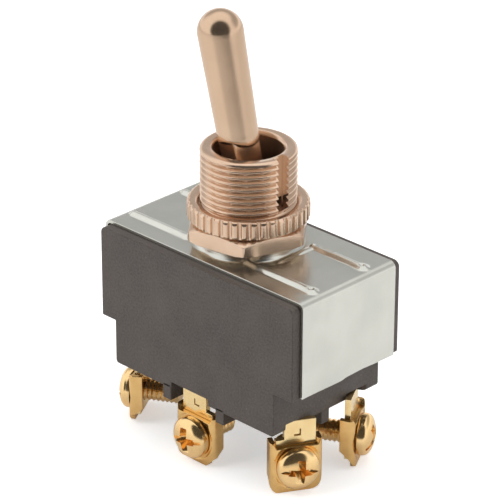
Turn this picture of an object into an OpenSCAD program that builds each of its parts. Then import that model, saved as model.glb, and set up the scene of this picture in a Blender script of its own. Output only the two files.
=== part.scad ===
// Double-pole panel toggle switch with screw terminals.
// Origin: bushing axis at the top of the ring nut, where a panel seats. +Z up the bushing, +X along the throw.
// The modules are drawn from the top of the steel frame, and seated() lowers them all to that origin.

/* [Frame] */
// Outside length of the folded frame, flange to flange
frame_len = 34.7; // [33.7:0.1:36.5]
// Thickness of the frame strip
sheet = 0.45; // [0.4:0.01:0.55]
// How far the end flanges reach down
flange_drop = 13.0; // [11.5:0.1:13.2]
// Outside radius of the two bends
bend_r = 0.95; // [0.85:0.05:1.4]
// Height of the round boss under the nuts
boss_h = 1.2; // [1.05:0.05:1.3]
// Diameter of that boss at its top
boss_d = 13.8; // [13.4:0.1:14.1]
// Width of the pressed stiffening ribs
bead_w = 1.3; // [1.1:0.05:1.4]
// How high those ribs stand
bead_h = 0.34; // [0.26:0.02:0.4]
// Spacing of the two rows of ribs
bead_gap = 9.1; // [8.8:0.1:9.8]
// How far both rows sit off the middle
bead_shift = -0.35; // [-0.5:0.05:0]
// Distance of the ribs' outer ends from the ends of the strip
bead_end = 1.7; // [1.5:0.05:2.2]
// Distance of the left ribs' inner ends from the bushing axis
bead_left = 5.9; // [5.5:0.1:6.5]
// Distance of the near right rib's inner end from the bushing axis
bead_near = 3.9; // [3.7:0.1:5]
// Distance of the far right rib's inner end, and of the low crease beside it, from the bushing axis
bead_far = 7.1; // [6.8:0.1:8]
// Height of that low crease
crease_h = 0.14; // [0.08:0.01:0.2]

/* [Case] */
// Width of the moulded case
case_w = 19.2; // [18.8:0.1:20.2]
// How far each side of the case stands proud of the frame strip
ledge = 1.3; // [1.0:0.05:1.5]
// How far the lower half steps in at the left end
step_left = 2.4; // [2.2:0.05:2.7]
// How far it steps in at the right end
step_right = 3.1; // [2.8:0.05:3.4]
// Level of the step between the halves, below the frame
step_drop = 13.1; // [12.9:0.1:13.4]
// Level of the lower rim, below the frame
rim_drop = 19.15; // [18.9:0.05:19.6]
// Wall thickness
wall = 1.5; // [1.3:0.05:1.6]
// How far the barriers between terminals hang below the rim
barrier_h = 1.75; // [1.4:0.05:1.95]
// Thickness of those barriers
barrier_t = 1.5; // [1.2:0.05:1.7]
// Distance of those barriers from the middle terminals
barrier_x = 4.7; // [4.4:0.05:5]

/* [Bushing and nuts] */
// Outside diameter of the threaded bushing
bush_d = 11.86; // [11.7:0.02:12.0]
// Height of the bushing above the frame
bush_top = 12.98; // [12.5:0.05:14]
// Bore of the bushing
bore_d = 8.66; // [8.5:0.02:8.8]
// Length of the unthreaded chamfer at the bushing's mouth
mouth = 0.5; // [0.4:0.05:0.6]
// Width of the keyway
key_w = 1.75; // [1.4:0.05:2]
// Depth of the keyway
key_depth = 1.0; // [0.8:0.05:1.1]
// Width of the window at the foot of the keyway
window_w = 1.5; // [1.2:0.05:1.7]
// Height of that window
window_h = 1.35; // [1.1:0.05:1.6]
// How far the hexagon nut's flats sit inside the ring nut's rim
hex_inset = 0.58; // [0.45:0.01:0.7]
// How far the hexagon nut is turned
hex_turn = 10; // [0:1:59]
// Thickness of the hexagon nut
hex_t = 2.2; // [2.0:0.05:2.4]
// Breadth of the ring nut, from the thread to its rim
ring_wall = 1.8; // [1.6:0.05:2]
// Thickness of the ring nut
ring_t = 2.4; // [2.2:0.05:2.6]
// Number of ridges round the ring nut
ring_ridges = 40; // [34:2:46]
// Depth of the rounded grooves between the ridges
groove_depth = 0.36; // [0.3:0.02:0.42]
// Radius of those grooves
groove_r = 0.28; // [0.24:0.01:0.32]

/* [Lever] */
// Height of the lever's pivot above the frame
pivot_z = 5.9; // [5.6:0.1:6.1]
// Lean of the lever either side of upright
lean = 13.3; // [12:0.1:13.6]
// Distance from the pivot to the tip of the lever
reach = 24.2; // [22:0.1:27]
// Thickest diameter of the bat
bat_d = 5.8; // [5.4:0.05:6.2]
// Diameter of the bat at its lower end
bat_root_d = 5.2; // [4.9:0.05:5.4]
// Where the bat starts, measured up from the pivot
bat_start = 6.5; // [6.3:0.05:6.8]
// How far below the tip the bat stops widening quickly
bat_shoulder = 8; // [7:0.1:9]
// Thickness of the neck across its flats
neck_w = 2.9; // [2.7:0.05:3.1]
// Breadth of the neck along the cross pin
neck_b = 4.5; // [4.2:0.05:4.7]
// Diameter of the stem under the ball
stem_d = 3.2; // [3:0.05:3.3]
// Diameter of the cross pin
pin_d = 1.5; // [1.3:0.05:1.6]

/* [Terminals] */
// Level of the screw axes, below the frame
screw_drop = 24.46; // [24.3:0.02:24.8]
// How far the corner terminals fan out from the ends
fan = 30; // [27:1:32]
// Width of a terminal tab
tab_w = 4.1; // [3.9:0.05:4.3]
// Thickness of a terminal tab
tab_t = 0.8; // [0.7:0.02:0.85]
// Width of a clamp plate
plate_w = 6.8; // [6.6:0.05:6.9]
// How far a clamp plate reaches below its screw
plate_below = 3.55; // [3.4:0.05:3.7]
// How far it reaches above its screw
plate_above = 2.7; // [2.5:0.05:2.9]
// How far its ears reach above the screw
ear_above = 3.4; // [3.2:0.05:3.6]
// How far a terminal tab reaches below the screw
tab_below = 2.5; // [2.3:0.05:2.7]
// How far a middle tab's face sits inside the case side
mid_inset = 0.85; // [0.8:0.05:1]
// How far inside the case side the corner tabs sit
corner_inset = 4.15; // [4:0.05:4.3]
// Width of a tab where the clamp grips it
tab_wide = 5.2; // [5:0.05:5.25]
// How far that wide part reaches above the screw
tab_above = 3.6; // [3.4:0.05:3.8]
// Breadth of the bevelled and of the rounded lower corner of a clamp plate
corner_cut = 1.3; // [1.1:0.05:1.5]
// Thickness of a clamp plate
plate_t = 0.7; // [0.6:0.02:0.75]
// How far the folded ears reach back
ear_depth = 1.3; // [1.0:0.05:1.4]
// Screw thread diameter
screw_d = 3.0; // [2.8:0.05:3.2]
// Screw head diameter
head_d = 5.5; // [5.2:0.05:5.8]
// Height of the screw head
head_h = 1.9; // [1.7:0.05:2.1]
// Length of the screw under its head
screw_len = 6.35; // [6:0.05:6.6]

/* [Contacts] */
// Level of the yoke's top, below the frame
yoke_drop = 3.0; // [2.9:0.05:3.1]
// Height of the yoke
yoke_h = 3.4; // [3.3:0.05:3.5]
// Width of the yoke
yoke_w = 4.4; // [4.2:0.05:4.6]
// Height of the knife edge above the case floor
rocker_rise = 4.5; // [4.4:0.05:4.6]
// Rock of the moving contact either side of level
rock = 6; // [5:0.1:6.2]
// Distance of the contacts from the middle
contact_x = 9.0; // [8.8:0.05:9.1]
// Distance of each pole from the middle of the case
pole_y = 4.6; // [4.5:0.02:4.7]
// Diameter of the spring plungers
plunger_d = 2.6; // [2.4:0.05:2.7]

/* [Hidden] */
$fn = 64;
eps = 0.01;
run = 0.05;                                  // running fit, on the radius
play = 0.1;                                  // loose fit of still pieces
air = 0.25;                                  // room left between pieces that pass each other
frame_w = case_w - 2 * ledge;
case_len = frame_len - 2 * sheet - 0.1;
case_top = -sheet - 0.02;
step_z = -step_drop;
rim_z = -rim_drop;
floor_t = 2.2;
floor_z = rim_z + floor_t;
shelf_t = wall + 0.1;
case_r = bend_r - sheet + 0.35;
foot_lo = -case_len / 2 + step_left;
foot_hi = case_len / 2 - step_right;
foot_len = foot_hi - foot_lo;
foot_shift = (foot_lo + foot_hi) / 2;
notch_z = rim_z + 0.9;
bush_r = bush_d / 2;
ring_d = bush_d + 2 * ring_wall;
hex_af = ring_d - 2 * hex_inset;
bore_r = bore_d / 2;
stake_r = boss_d / 2 - sheet - 0.35;
hex_z = boss_h + 0.02;
ring_z = hex_z + hex_t + 0.03;
seat_z = ring_z + ring_t;                    // underside of the panel
pin_reach = bore_r + 0.7;
foot_bite = 0.25;                            // how far a corner terminal's foot bites into the end wall
foot_out = 1.9;                              // how far that foot reaches past its tab
foot_in = 1.6;                               // and past the middle of its pole
hub_r = bore_r - 0.55;
yoke_top = -yoke_drop;
yoke_len = 2 * pole_y + plunger_d + 1.3;
card_z = case_top - 0.1;
card_t = 0.6;
rocker_z = floor_z + rocker_rise;                  // knife edge the moving contact rocks on
rocker_t = 0.8;
rocker_w = 3.6;
button_r = 1.2;
button_h = 0.5;
contact_h = 0.45;
post_z = rocker_z - contact_x * sin(rock) - button_h - contact_h - air;
tip_level = rocker_z + rocker_t + 0.1 + air; // plunger tip with the lever upright
tip_reach = pivot_z - tip_level;
tip_c = tip_reach - plunger_d / 2;
// path of the plunger tip seen from the moving contact
path_x = tip_c * sin(lean) * cos(rock) - (pivot_z - rocker_z - tip_c * cos(lean)) * sin(rock);
path_z = tip_c * sin(lean) * sin(rock) + (pivot_z - rocker_z - tip_c * cos(lean)) * cos(rock);
path_0 = pivot_z - rocker_z - tip_c;
path_rise = path_z - path_0;
path_r = (path_x * path_x + path_rise * path_rise) / (2 * path_rise);
dish_z = path_0 + path_r;
dish_r = path_r + plunger_d / 2 + air;
wing_x = path_x + 1.2;
wing_z = dish_z - sqrt(dish_r * dish_r - wing_x * wing_x);
screw_z = -screw_drop;
screw_r = screw_d / 2;
plate_low = screw_z - plate_below;
plate_high = screw_z + plate_above;
ear_high = screw_z + ear_above;
tab_low = screw_z - tab_below;
mid_y = case_w / 2 - mid_inset;              // front face of the middle tabs
corner_x = foot_len / 2 - 0.08;              // front face of the corner tabs, from the lower half's middle
corner_y = case_w / 2 - corner_inset;
tab_in = tab_w - tab_wide / 2;               // how far a tab's narrow part reaches past its middle
slot_in = 0.35;                              // the corner slots start this far in, to stay inside the end wall
card_hole = 6.4;
bead_in = frame_len / 2 - bead_end;          // outer ends of the ribs

// Turns a flat outline drawn in X and Z into a slab across the switch.
module across(w) {
    rotate([90, 0, 0]) linear_extrude(height = w, center = true) children();
}

// Rectangle from (x0, z0) to (x1, z1) whose upper and lower corners have their own radii.
module round_box(x0, x1, z0, z1, r_low, r_high) {
    union() {
        translate([x0 + r_low, z0]) square([x1 - x0 - 2 * r_low, z1 - z0 - r_high]);
        translate([x0 + r_high, z0 + r_low]) square([x1 - x0 - 2 * r_high, z1 - z0 - r_low]);
        translate([x0, z0 + r_low]) square([x1 - x0, z1 - z0 - r_low - r_high]);
        translate([x0 + r_low, z0 + r_low]) circle(r = r_low);
        translate([x1 - r_low, z0 + r_low]) circle(r = r_low);
        translate([x0 + r_high, z1 - r_high]) circle(r = r_high);
        translate([x1 - r_high, z1 - r_high]) circle(r = r_high);
    }
}

// Lowers a piece so that the panel seat is at zero.
module seated() {
    translate([0, 0, -seat_z]) children();
}

module block(x0, x1, y0, y1, z0, z1) {
    translate([x0, y0, z0]) cube([x1 - x0, y1 - y0, z1 - z0]);
}

// Stands a piece at one terminal: its own +Y points out of the switch, its Z stays level.
module at_terminal(end, side) {
    if (end == 0) {
        translate([foot_shift, side * mid_y, 0]) rotate([0, 0, side > 0 ? 0 : 180]) children();
    } else {
        translate([foot_shift + end * corner_x, side * corner_y, 0])
            rotate([0, 0, end > 0 ? -90 + side * fan : 90 - side * fan]) children();
    }
}

// Leans a piece drawn upright round the lever's pivot.
module leaned() {
    translate([0, 0, pivot_z]) rotate([0, -lean, 0]) translate([0, 0, -pivot_z]) children();
}

// Rocks a piece drawn level round the knife edge of one pole.
module rocked(side) {
    translate([0, side * pole_y, rocker_z]) rotate([0, rock, 0]) children();
}

// ---- case ----
module tab_slot(end, side) {
    at_terminal(end, side) {
        block(-tab_in - play, tab_wide / 2 + play, -tab_t - play, play, rim_z - 1, floor_z + 0.9);
    }
}

// A corner tab's narrow part lies to one side of its middle, and only the half inside the case goes up.
module corner_slot(end, side) {
    inner = end * side > 0 ? 1 : -1;
    at_terminal(end, side) {
        block(min(-inner * slot_in, -inner * (tab_in + play)), max(-inner * slot_in, -inner * (tab_in + play)),
            -tab_t - play, play, rim_z - 1, floor_z + 0.9);
        block(min(-inner * (tab_in + play), inner * (tab_wide / 2 + play)),
            max(-inner * (tab_in + play), inner * (tab_wide / 2 + play)),
            -tab_t - play, 3, rim_z - 1, notch_z);
    }
}

// Foot of a corner terminal, from under its contact to the end wall, grown by room on every side.
module corner_foot(end, side, room) {
    block(end > 0 ? contact_x - 1.5 - room : foot_lo + wall - foot_bite - room,
        end > 0 ? foot_hi - wall + foot_bite + room : -contact_x + 1.5 + room,
        side > 0 ? pole_y - foot_in - room : -corner_y - foot_out - room,
        side > 0 ? corner_y + foot_out + room : -pole_y + foot_in + room,
        floor_z, floor_z + tab_t + room);
}

module case() {
    inner_y = case_w / 2 - wall;
    seated() color([0.30, 0.27, 0.26])
    difference() {
        union() {
            across(case_w) {
                round_box(-case_len / 2, case_len / 2, step_z, case_top, 0.1, case_r);
                round_box(foot_lo, foot_hi, rim_z, step_z + 2, 0.5, 0.1);
            }
            // barriers between the terminals
            for (i = [-1, 1])
                block(foot_shift + i * barrier_x - barrier_t / 2, foot_shift + i * barrier_x + barrier_t / 2,
                    -case_w / 2, case_w / 2, rim_z - barrier_h, rim_z + 0.5);
            block(foot_lo + 0.4, foot_hi - 0.2, -barrier_t / 2, barrier_t / 2, rim_z - barrier_h, rim_z + 0.5);
        }
        // room for the works
        block(-case_len / 2 + wall, case_len / 2 - wall, -inner_y, inner_y, step_z + shelf_t, 1);
        block(foot_lo + wall, foot_hi - wall, -inner_y, inner_y, floor_z, step_z + shelf_t + 1);
        for (side = [-1, 1]) {
            tab_slot(0, side);
            for (end = [-1, 1]) {
                corner_slot(end, side);
                corner_foot(end, side, play);
            }
            // open notch in front of each middle tab
            block(foot_shift - tab_wide / 2 - 1.3, foot_shift + tab_wide / 2,
                side > 0 ? mid_y - 0.2 : -case_w, side > 0 ? case_w : -mid_y + 0.2, rim_z - 0.1, notch_z);
        }
    }
    // partition that parts the two poles
    seated() color([0.30, 0.27, 0.26])
        block(foot_lo + wall - eps, foot_hi - wall + eps, -0.5, 0.5, floor_z - eps, rocker_z - 1);
}

// ---- frame ----
module frame_outline() {
    half = frame_len / 2;
    difference() {
        round_box(-half, half, -flange_drop, 0, 0.05, bend_r);
        round_box(-half + sheet, half - sheet, -flange_drop - 2, -sheet, 0.05, bend_r - sheet);
    }
}

module bead(x0, x1, y) {
    for (x = [x0, x1]) translate([x, y, 0]) sphere(d = bead_w);
    translate([x0, y, 0]) rotate([0, 90, 0]) cylinder(d = bead_w, h = x1 - x0);
}

// Sinks a rib of thickness d so that only height h shows above the strip.
module crown(d, h) {
    translate([0, 0, h - d / 2]) children();
}

module frame() {
    seated() color([0.72, 0.72, 0.68])
    difference() {
        union() {
            across(frame_w) frame_outline();
            // pressed ribs, sunk so only their crowns show
            intersection() {
                union() {
                    for (side = [-1, 1]) {
                        row = bead_shift + side * bead_gap / 2;
                        crown(bead_w, bead_h) bead(-bead_in, -bead_left, row);
                        crown(bead_w, bead_h) bead(side < 0 ? bead_near : bead_far, bead_in, row);
                        // the right ends swell a little
                        crown(bead_w * 1.4, bead_h) translate([bead_in, row, 0]) sphere(d = bead_w * 1.4);
                    }
                    crown(bead_w, crease_h) translate([bead_far, bead_shift + bead_gap / 2, 0])
                        rotate([90, 0, 0]) cylinder(d = bead_w, h = bead_gap * 0.7);
                }
                block(-frame_len / 2, frame_len / 2, -frame_w / 2, frame_w / 2, -sheet / 2, 2);
            }
            rotate_extrude() polygon([[0, -sheet], [boss_d / 2 + 0.5, -sheet], [boss_d / 2 + 0.5, 0],
                [boss_d / 2 + 0.15, boss_h * 0.4], [boss_d / 2, boss_h], [0, boss_h]]);
        }
        translate([0, 0, -sheet - 1]) cylinder(r = stake_r + play, h = 1 + boss_h);
        translate([0, 0, -sheet - 1]) cylinder(r = bush_r - 0.7 + play, h = 4);
    }
}

module insulator_card() {
    seated() color([0.42, 0.30, 0.20])
    difference() {
        block(-case_len / 2 + wall + play, case_len / 2 - wall - play,
            -case_w / 2 + wall + play, case_w / 2 - wall - play, card_z - card_t, card_z);
        translate([0, 0, card_z - card_t - 1]) cylinder(r = card_hole, h = card_t + 2);
    }
}

// ---- bushing and nuts ----
module bushing() {
    seated() color([0.78, 0.70, 0.62])
    difference() {
        union() {
            rotate_extrude() polygon([[0, boss_h], [bush_r - 0.35, boss_h], [bush_r, boss_h + 0.35],
                [bush_r, bush_top - mouth], [bush_r - mouth, bush_top], [0, bush_top]]);
            translate([0, 0, boss_h - sheet - 0.02]) cylinder(r = bush_r - 0.7, h = sheet + 0.1);
            translate([0, 0, -sheet + 0.1]) cylinder(r = stake_r, h = boss_h - 0.12);
        }
        translate([0, 0, -2]) cylinder(r = bore_r, h = bush_top + 4);
        rotate_extrude() polygon([[0, bush_top - 0.35], [bore_r, bush_top - 0.35],
            [bore_r + 0.35, bush_top + eps], [0, bush_top + eps]]);
        block(bush_r - key_depth, bush_r + 1, -key_w / 2, key_w / 2, seat_z + 0.2, bush_top + 1);
        // small window at the foot of the keyway
        block(0, bush_r + 1, -window_w / 2, window_w / 2, seat_z + 0.2, seat_z + 0.2 + window_h);
        // thread relief where the ring nut sits
        rotate_extrude() polygon([[bush_r - 0.3, seat_z - 0.8], [bush_r + 1, seat_z - 0.8],
            [bush_r + 1, seat_z + 0.1], [bush_r - 0.3, seat_z + 0.1]]);
        // grooves the cross pin rises in
        block(-pin_d / 2 - run, pin_d / 2 + run, -pin_reach - play, pin_reach + play, -2, pivot_z);
        translate([0, pin_reach + play, pivot_z]) rotate([90, 0, 0])
            cylinder(d = pin_d + 2 * run, h = 2 * pin_reach + 2 * play);
    }
}

module hex_nut() {
    seated() color([0.74, 0.66, 0.56])
    difference() {
        intersection() {
            translate([0, 0, hex_z]) rotate([0, 0, hex_turn]) cylinder(d = hex_af / cos(30), h = hex_t, $fn = 6);
            rotate_extrude() polygon([[0, hex_z], [hex_af / 2 + 0.55, hex_z], [hex_af / 2 + 1.2, hex_z + 0.3],
                [hex_af / 2 + 1.2, hex_z + hex_t - 0.75], [hex_af / 2 - 0.25, hex_z + hex_t],
                [0, hex_z + hex_t]]);
        }
        translate([0, 0, hex_z - 1]) cylinder(r = bush_r + run, h = hex_t + 2);
    }
}

module ring_nut() {
    seated() color([0.78, 0.68, 0.56])
    difference() {
        rotate_extrude() polygon([[0, ring_z], [ring_d / 2 - 0.3, ring_z], [ring_d / 2, ring_z + 0.3],
            [ring_d / 2, ring_z + ring_t - 0.4], [ring_d / 2 - 0.4, ring_z + ring_t], [0, ring_z + ring_t]]);
        translate([0, 0, ring_z - 1]) cylinder(r = bush_r + run, h = ring_t + 2);
        rotate_extrude() polygon([[0, ring_z + ring_t - 0.4], [bush_r + run, ring_z + ring_t - 0.4],
            [bush_r + 0.75, ring_z + ring_t + eps], [0, ring_z + ring_t + eps]]);
        for (i = [0 : ring_ridges - 1])
            rotate([0, 0, i * 360 / ring_ridges]) translate([ring_d / 2 + groove_r - groove_depth, 0, ring_z - 1])
                cylinder(r = groove_r, h = ring_t + 2, $fn = 24);
    }
}

// ---- lever ----
module lever() {
    top = pivot_z + reach;
    root = pivot_z + bat_start;
    seated() color([0.80, 0.72, 0.62])
    leaned() difference() {
        union() {
            // bat, rounded under and domed on top
            rotate_extrude() polygon([[0, root], [bat_root_d / 2 - 0.9, root],
                [bat_root_d / 2 - 0.3, root + 0.3],
                [bat_root_d / 2, root + 1.0], [bat_d / 2 - 0.1, top - bat_shoulder],
                [bat_d / 2, top - bat_d / 2 - 1],
                [bat_d / 2, top - bat_d / 2], [0, top - bat_d / 2]]);
            translate([0, 0, top - bat_d / 2]) intersection() {
                sphere(d = bat_d);
                translate([0, 0, -0.5]) cylinder(d = bat_d + 1, h = bat_d);
            }
            block(-neck_w / 2, neck_w / 2, -neck_b / 2, neck_b / 2, pivot_z, root + 1);
            translate([0, 0, pivot_z]) intersection() {
                sphere(r = hub_r);
                block(-hub_r - 1, hub_r + 1, -hub_r + 0.6, hub_r - 0.6, -hub_r - 1, hub_r + 1);
            }
            translate([0, 0, yoke_top - yoke_h + 0.6]) cylinder(d = stem_d, h = pivot_z - yoke_top + yoke_h - 0.6);
        }
        translate([0, hub_r + 1, pivot_z]) rotate([90, 0, 0]) cylinder(d = pin_d + 2 * run, h = 2 * hub_r + 2);
    }
}

module cross_pin() {
    seated() color([0.70, 0.70, 0.70])
        translate([0, pin_reach, pivot_z]) rotate([90, 0, 0]) cylinder(d = pin_d, h = 2 * pin_reach);
}

module yoke() {
    seated() color([0.22, 0.16, 0.12])
    leaned() difference() {
        block(-yoke_w / 2, yoke_w / 2, -yoke_len / 2, yoke_len / 2, yoke_top - yoke_h, yoke_top);
        translate([0, 0, yoke_top - yoke_h - 1]) cylinder(d = stem_d + 2 * 0.03, h = yoke_h + 2);
        for (side = [-1, 1]) translate([0, side * pole_y, yoke_top - yoke_h - 1])
            cylinder(d = plunger_d + 2 * run, h = yoke_h + 0.3);
    }
}

module plunger(side) {
    low = pivot_z - tip_reach;
    seated() color([0.85, 0.83, 0.75])
    leaned() translate([0, side * pole_y, 0]) union() {
        translate([0, 0, low + plunger_d / 2]) sphere(d = plunger_d);
        translate([0, 0, low + plunger_d / 2])
            cylinder(d = plunger_d, h = yoke_top - 2.3 - low - plunger_d / 2);
    }
}

module spring(side) {
    // closed rings stand for the coils
    seated() color([0.60, 0.60, 0.62])
    leaned() translate([0, side * pole_y, yoke_top - 2.2]) union() {
        for (k = [0 : 2]) translate([0, 0, 0.18 + k * 0.5])
            rotate_extrude($fn = 40) translate([plunger_d / 2 - 0.35, 0]) circle(d = 0.32, $fn = 16);
        translate([-plunger_d / 2 + 0.25, -0.1, 0.1]) cube([0.2, 0.2, 1.1]);
    }
}

// ---- moving contacts ----
module rocker(side) {
    end_x = contact_x + 1.3;
    seated() color([0.80, 0.52, 0.34])
    rocked(side) across(rocker_w) difference() {
        union() {
            polygon([[-end_x, 0], [-wing_x - 2.2, 0], [-wing_x, wing_z - 1.0], [-1.6, 0], [0, 0],
                [1.6, 0], [wing_x, wing_z - 1.0], [wing_x + 2.2, 0], [end_x, 0],
                [end_x, rocker_t], [wing_x + 2.2, rocker_t], [wing_x, wing_z], [-wing_x, wing_z],
                [-wing_x - 2.2, rocker_t], [-end_x, rocker_t]]);
        }
        translate([0, dish_z]) circle(r = dish_r, $fn = 180);
    }
}

module rocker_buttons(side) {
    seated() color([0.86, 0.86, 0.88])
    rocked(side) for (i = [-1, 1]) translate([i * contact_x, 0, -button_h])
        cylinder(r = button_r, h = button_h);
}

// ---- terminals ----
// Flat tab, wide under the clamp and narrow above it, with a small L-shaped slit.
// Both parts are flush at the side that flush, 1 or -1, tells.
module tab(low, high, flush) {
    mid = flush * (tab_wide / 2 - tab_w / 2);
    slit = screw_z + tab_above + 0.35;
    difference() {
        union() {
            block(-tab_wide / 2, tab_wide / 2, -tab_t, 0, low, screw_z + tab_above);
            block(min(flush * tab_wide / 2, -flush * tab_in), max(flush * tab_wide / 2, -flush * tab_in),
                -tab_t, 0, low, high);
        }
        translate([0, 1, screw_z]) rotate([90, 0, 0]) cylinder(r = screw_r + run, h = tab_t + 2);
        block(mid - 0.1, mid + 0.1, -0.4, 1, slit, slit + 0.9);
        block(min(mid - flush * 0.8, mid + flush * 0.1), max(mid - flush * 0.8, mid + flush * 0.1),
            -0.4, 1, slit, slit + 0.2);
    }
}

module terminal(end, side) {
    inner = end * side > 0 ? 1 : -1;
    seated() color([0.85, 0.68, 0.38])
    union() {
        if (end == 0) {
            at_terminal(0, side) tab(tab_low, floor_z + tab_t, 1);
            block(foot_shift + (side > 0 ? -tab_in : -tab_wide / 2),
                foot_shift + (side > 0 ? tab_wide / 2 : tab_in),
                side > 0 ? 1.2 : -mid_y + eps, side > 0 ? mid_y - eps : -1.2, floor_z, floor_z + tab_t);
            // knife edge the moving contact rocks on
            translate([0, side * pole_y, 0]) across(2.6)
                polygon([[-1.0, floor_z + tab_t / 2], [1.0, floor_z + tab_t / 2], [0.9, rocker_z - 1.2],
                    [0.15, rocker_z - 0.16], [-0.15, rocker_z - 0.16], [-0.9, rocker_z - 1.2]]);
        } else {
            at_terminal(end, side) {
                tab(tab_low, notch_z - play, inner);
                block(min(-inner * (slot_in + play), -inner * tab_in),
                    max(-inner * (slot_in + play), -inner * tab_in),
                    -tab_t, 0, notch_z - 0.5, floor_z + tab_t);
            }
            corner_foot(end, side, 0);
            block(end * contact_x - 1.4, end * contact_x + 1.4, side * pole_y - 1.5, side * pole_y + 1.5,
                floor_z + tab_t / 2, post_z);
        }
    }
}

module fixed_contact(end, side) {
    seated() color([0.86, 0.86, 0.88])
        translate([end * contact_x, side * pole_y, post_z]) cylinder(r = button_r, h = contact_h);
}

module clamp(end, side) {
    half = plate_w / 2;
    seated() color([0.90, 0.76, 0.45])
    at_terminal(end, side) difference() {
        union() {
            // plate with one bevelled and one rounded lower corner
            rotate([90, 0, 0]) translate([0, 0, -plate_t]) linear_extrude(height = plate_t - 0.02) union() {
                polygon([[-half + corner_cut, plate_low], [half - corner_cut, plate_low],
                    [half - corner_cut, plate_low + corner_cut], [half, plate_low + corner_cut],
                    [half, plate_high], [-half, plate_high], [-half, plate_low + corner_cut]]);
                translate([half - corner_cut, plate_low + corner_cut]) circle(r = corner_cut);
            }
            for (i = [-1, 1]) {
                translate([i * (half - plate_t / 2), 0, 0]) rotate([90, 0, 90])
                    linear_extrude(height = plate_t, center = true)
                    polygon([[plate_t, plate_low + corner_cut], [-ear_depth + 0.6, plate_low + corner_cut + 0.6],
                        [-ear_depth, plate_low + corner_cut + 1.2], [-ear_depth, ear_high],
                        [plate_t, ear_high - 0.3]]);
            }
        }
        translate([0, 3, screw_z]) rotate([90, 0, 0]) cylinder(r = screw_r + 0.2, h = 6);
    }
}

module screw(end, side) {
    seated() color([0.88, 0.73, 0.42])
    at_terminal(end, side) translate([0, plate_t + 0.02, screw_z]) difference() {
        union() {
            rotate([-90, 0, 0]) rotate_extrude() polygon([[0, 0], [head_d / 2 - 0.15, 0],
                [head_d / 2, 0.2], [head_d / 2, 0.7], [head_d / 2 - 0.25, head_h * 0.62],
                [head_d / 2 - 0.95, head_h * 0.88], [head_d / 2 - 1.8, head_h], [0, head_h]]);
            translate([0, eps, 0]) rotate([90, 0, 0]) cylinder(r = screw_r, h = screw_len - 0.4);
            rotate([90, 0, 0]) cylinder(r = screw_r - 0.4, h = screw_len);
        }
        block(-head_d, head_d, head_h - 0.85, head_h + 1, -0.3, 0.3);
        block(-0.3, 0.3, head_h - 1.1, head_h + 1, -1.4, 1.4);
    }
}

case();
frame();
insulator_card();
bushing();
hex_nut();
ring_nut();
lever();
cross_pin();
yoke();
plunger(-1);  // plunger_near
plunger(1);  // plunger_far
spring(-1);  // spring_near
spring(1);  // spring_far
rocker(-1);  // rocker_near
rocker(1);  // rocker_far
rocker_buttons(-1);  // rocker_buttons_near
rocker_buttons(1);  // rocker_buttons_far
terminal(-1, -1);  // terminal_near_left
terminal(0, -1);  // terminal_near_mid
terminal(1, -1);  // terminal_near_right
terminal(-1, 1);  // terminal_far_left
terminal(0, 1);  // terminal_far_mid
terminal(1, 1);  // terminal_far_right
fixed_contact(-1, -1);  // fixed_contact_near_left
fixed_contact(1, -1);  // fixed_contact_near_right
fixed_contact(-1, 1);  // fixed_contact_far_left
fixed_contact(1, 1);  // fixed_contact_far_right
clamp(-1, -1);  // clamp_near_left
clamp(0, -1);  // clamp_near_mid
clamp(1, -1);  // clamp_near_right
clamp(-1, 1);  // clamp_far_left
clamp(0, 1);  // clamp_far_mid
clamp(1, 1);  // clamp_far_right
screw(-1, -1);  // screw_near_left
screw(0, -1);  // screw_near_mid
screw(1, -1);  // screw_near_right
screw(-1, 1);  // screw_far_left
screw(0, 1);  // screw_far_mid
screw(1, 1);  // screw_far_right
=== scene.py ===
"""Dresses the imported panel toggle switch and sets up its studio.

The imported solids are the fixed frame. The solids inside the case and the terminals keep their shape and get softened
edges and a finish. The case, the threaded neck, both nuts, the pressed strap, the screws, the wire clamps and the lever
are made again here in finer detail. Every length in the classes below is in millimetres, and meshes are in metres.
"""

import logging
import math
from dataclasses import dataclass, field
from enum import Enum
from typing import Callable, Dict, List, Optional, Sequence, Tuple, Union

import bmesh
import bpy
from mathutils import Matrix, Vector


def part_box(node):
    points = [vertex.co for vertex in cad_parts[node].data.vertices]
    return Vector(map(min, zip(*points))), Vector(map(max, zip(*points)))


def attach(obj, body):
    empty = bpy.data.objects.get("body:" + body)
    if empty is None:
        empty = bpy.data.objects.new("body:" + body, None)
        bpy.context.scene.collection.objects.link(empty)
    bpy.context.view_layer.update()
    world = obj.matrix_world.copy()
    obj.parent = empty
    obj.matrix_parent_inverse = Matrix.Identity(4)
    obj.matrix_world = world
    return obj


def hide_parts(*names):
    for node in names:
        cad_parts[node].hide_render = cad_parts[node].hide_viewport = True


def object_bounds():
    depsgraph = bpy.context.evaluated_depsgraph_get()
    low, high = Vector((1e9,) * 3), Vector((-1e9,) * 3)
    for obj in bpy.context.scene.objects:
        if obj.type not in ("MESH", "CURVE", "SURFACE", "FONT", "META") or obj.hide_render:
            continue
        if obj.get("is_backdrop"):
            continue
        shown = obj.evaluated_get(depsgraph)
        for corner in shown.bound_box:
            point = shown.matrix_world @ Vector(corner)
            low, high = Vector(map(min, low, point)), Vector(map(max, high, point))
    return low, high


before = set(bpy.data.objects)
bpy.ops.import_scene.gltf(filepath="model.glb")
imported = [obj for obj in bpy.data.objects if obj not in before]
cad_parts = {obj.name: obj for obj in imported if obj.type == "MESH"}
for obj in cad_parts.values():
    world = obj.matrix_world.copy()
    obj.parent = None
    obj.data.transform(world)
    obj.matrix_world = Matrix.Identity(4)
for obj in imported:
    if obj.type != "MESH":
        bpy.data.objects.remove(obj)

log = logging.getLogger("toggle_switch")
MM = 0.001
Number = Union[int, float]
Colour = Tuple[float, float, float]
Point = Tuple[float, float, float]
Sheet = List[List[Tuple[Vector, Vector]]]


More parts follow.
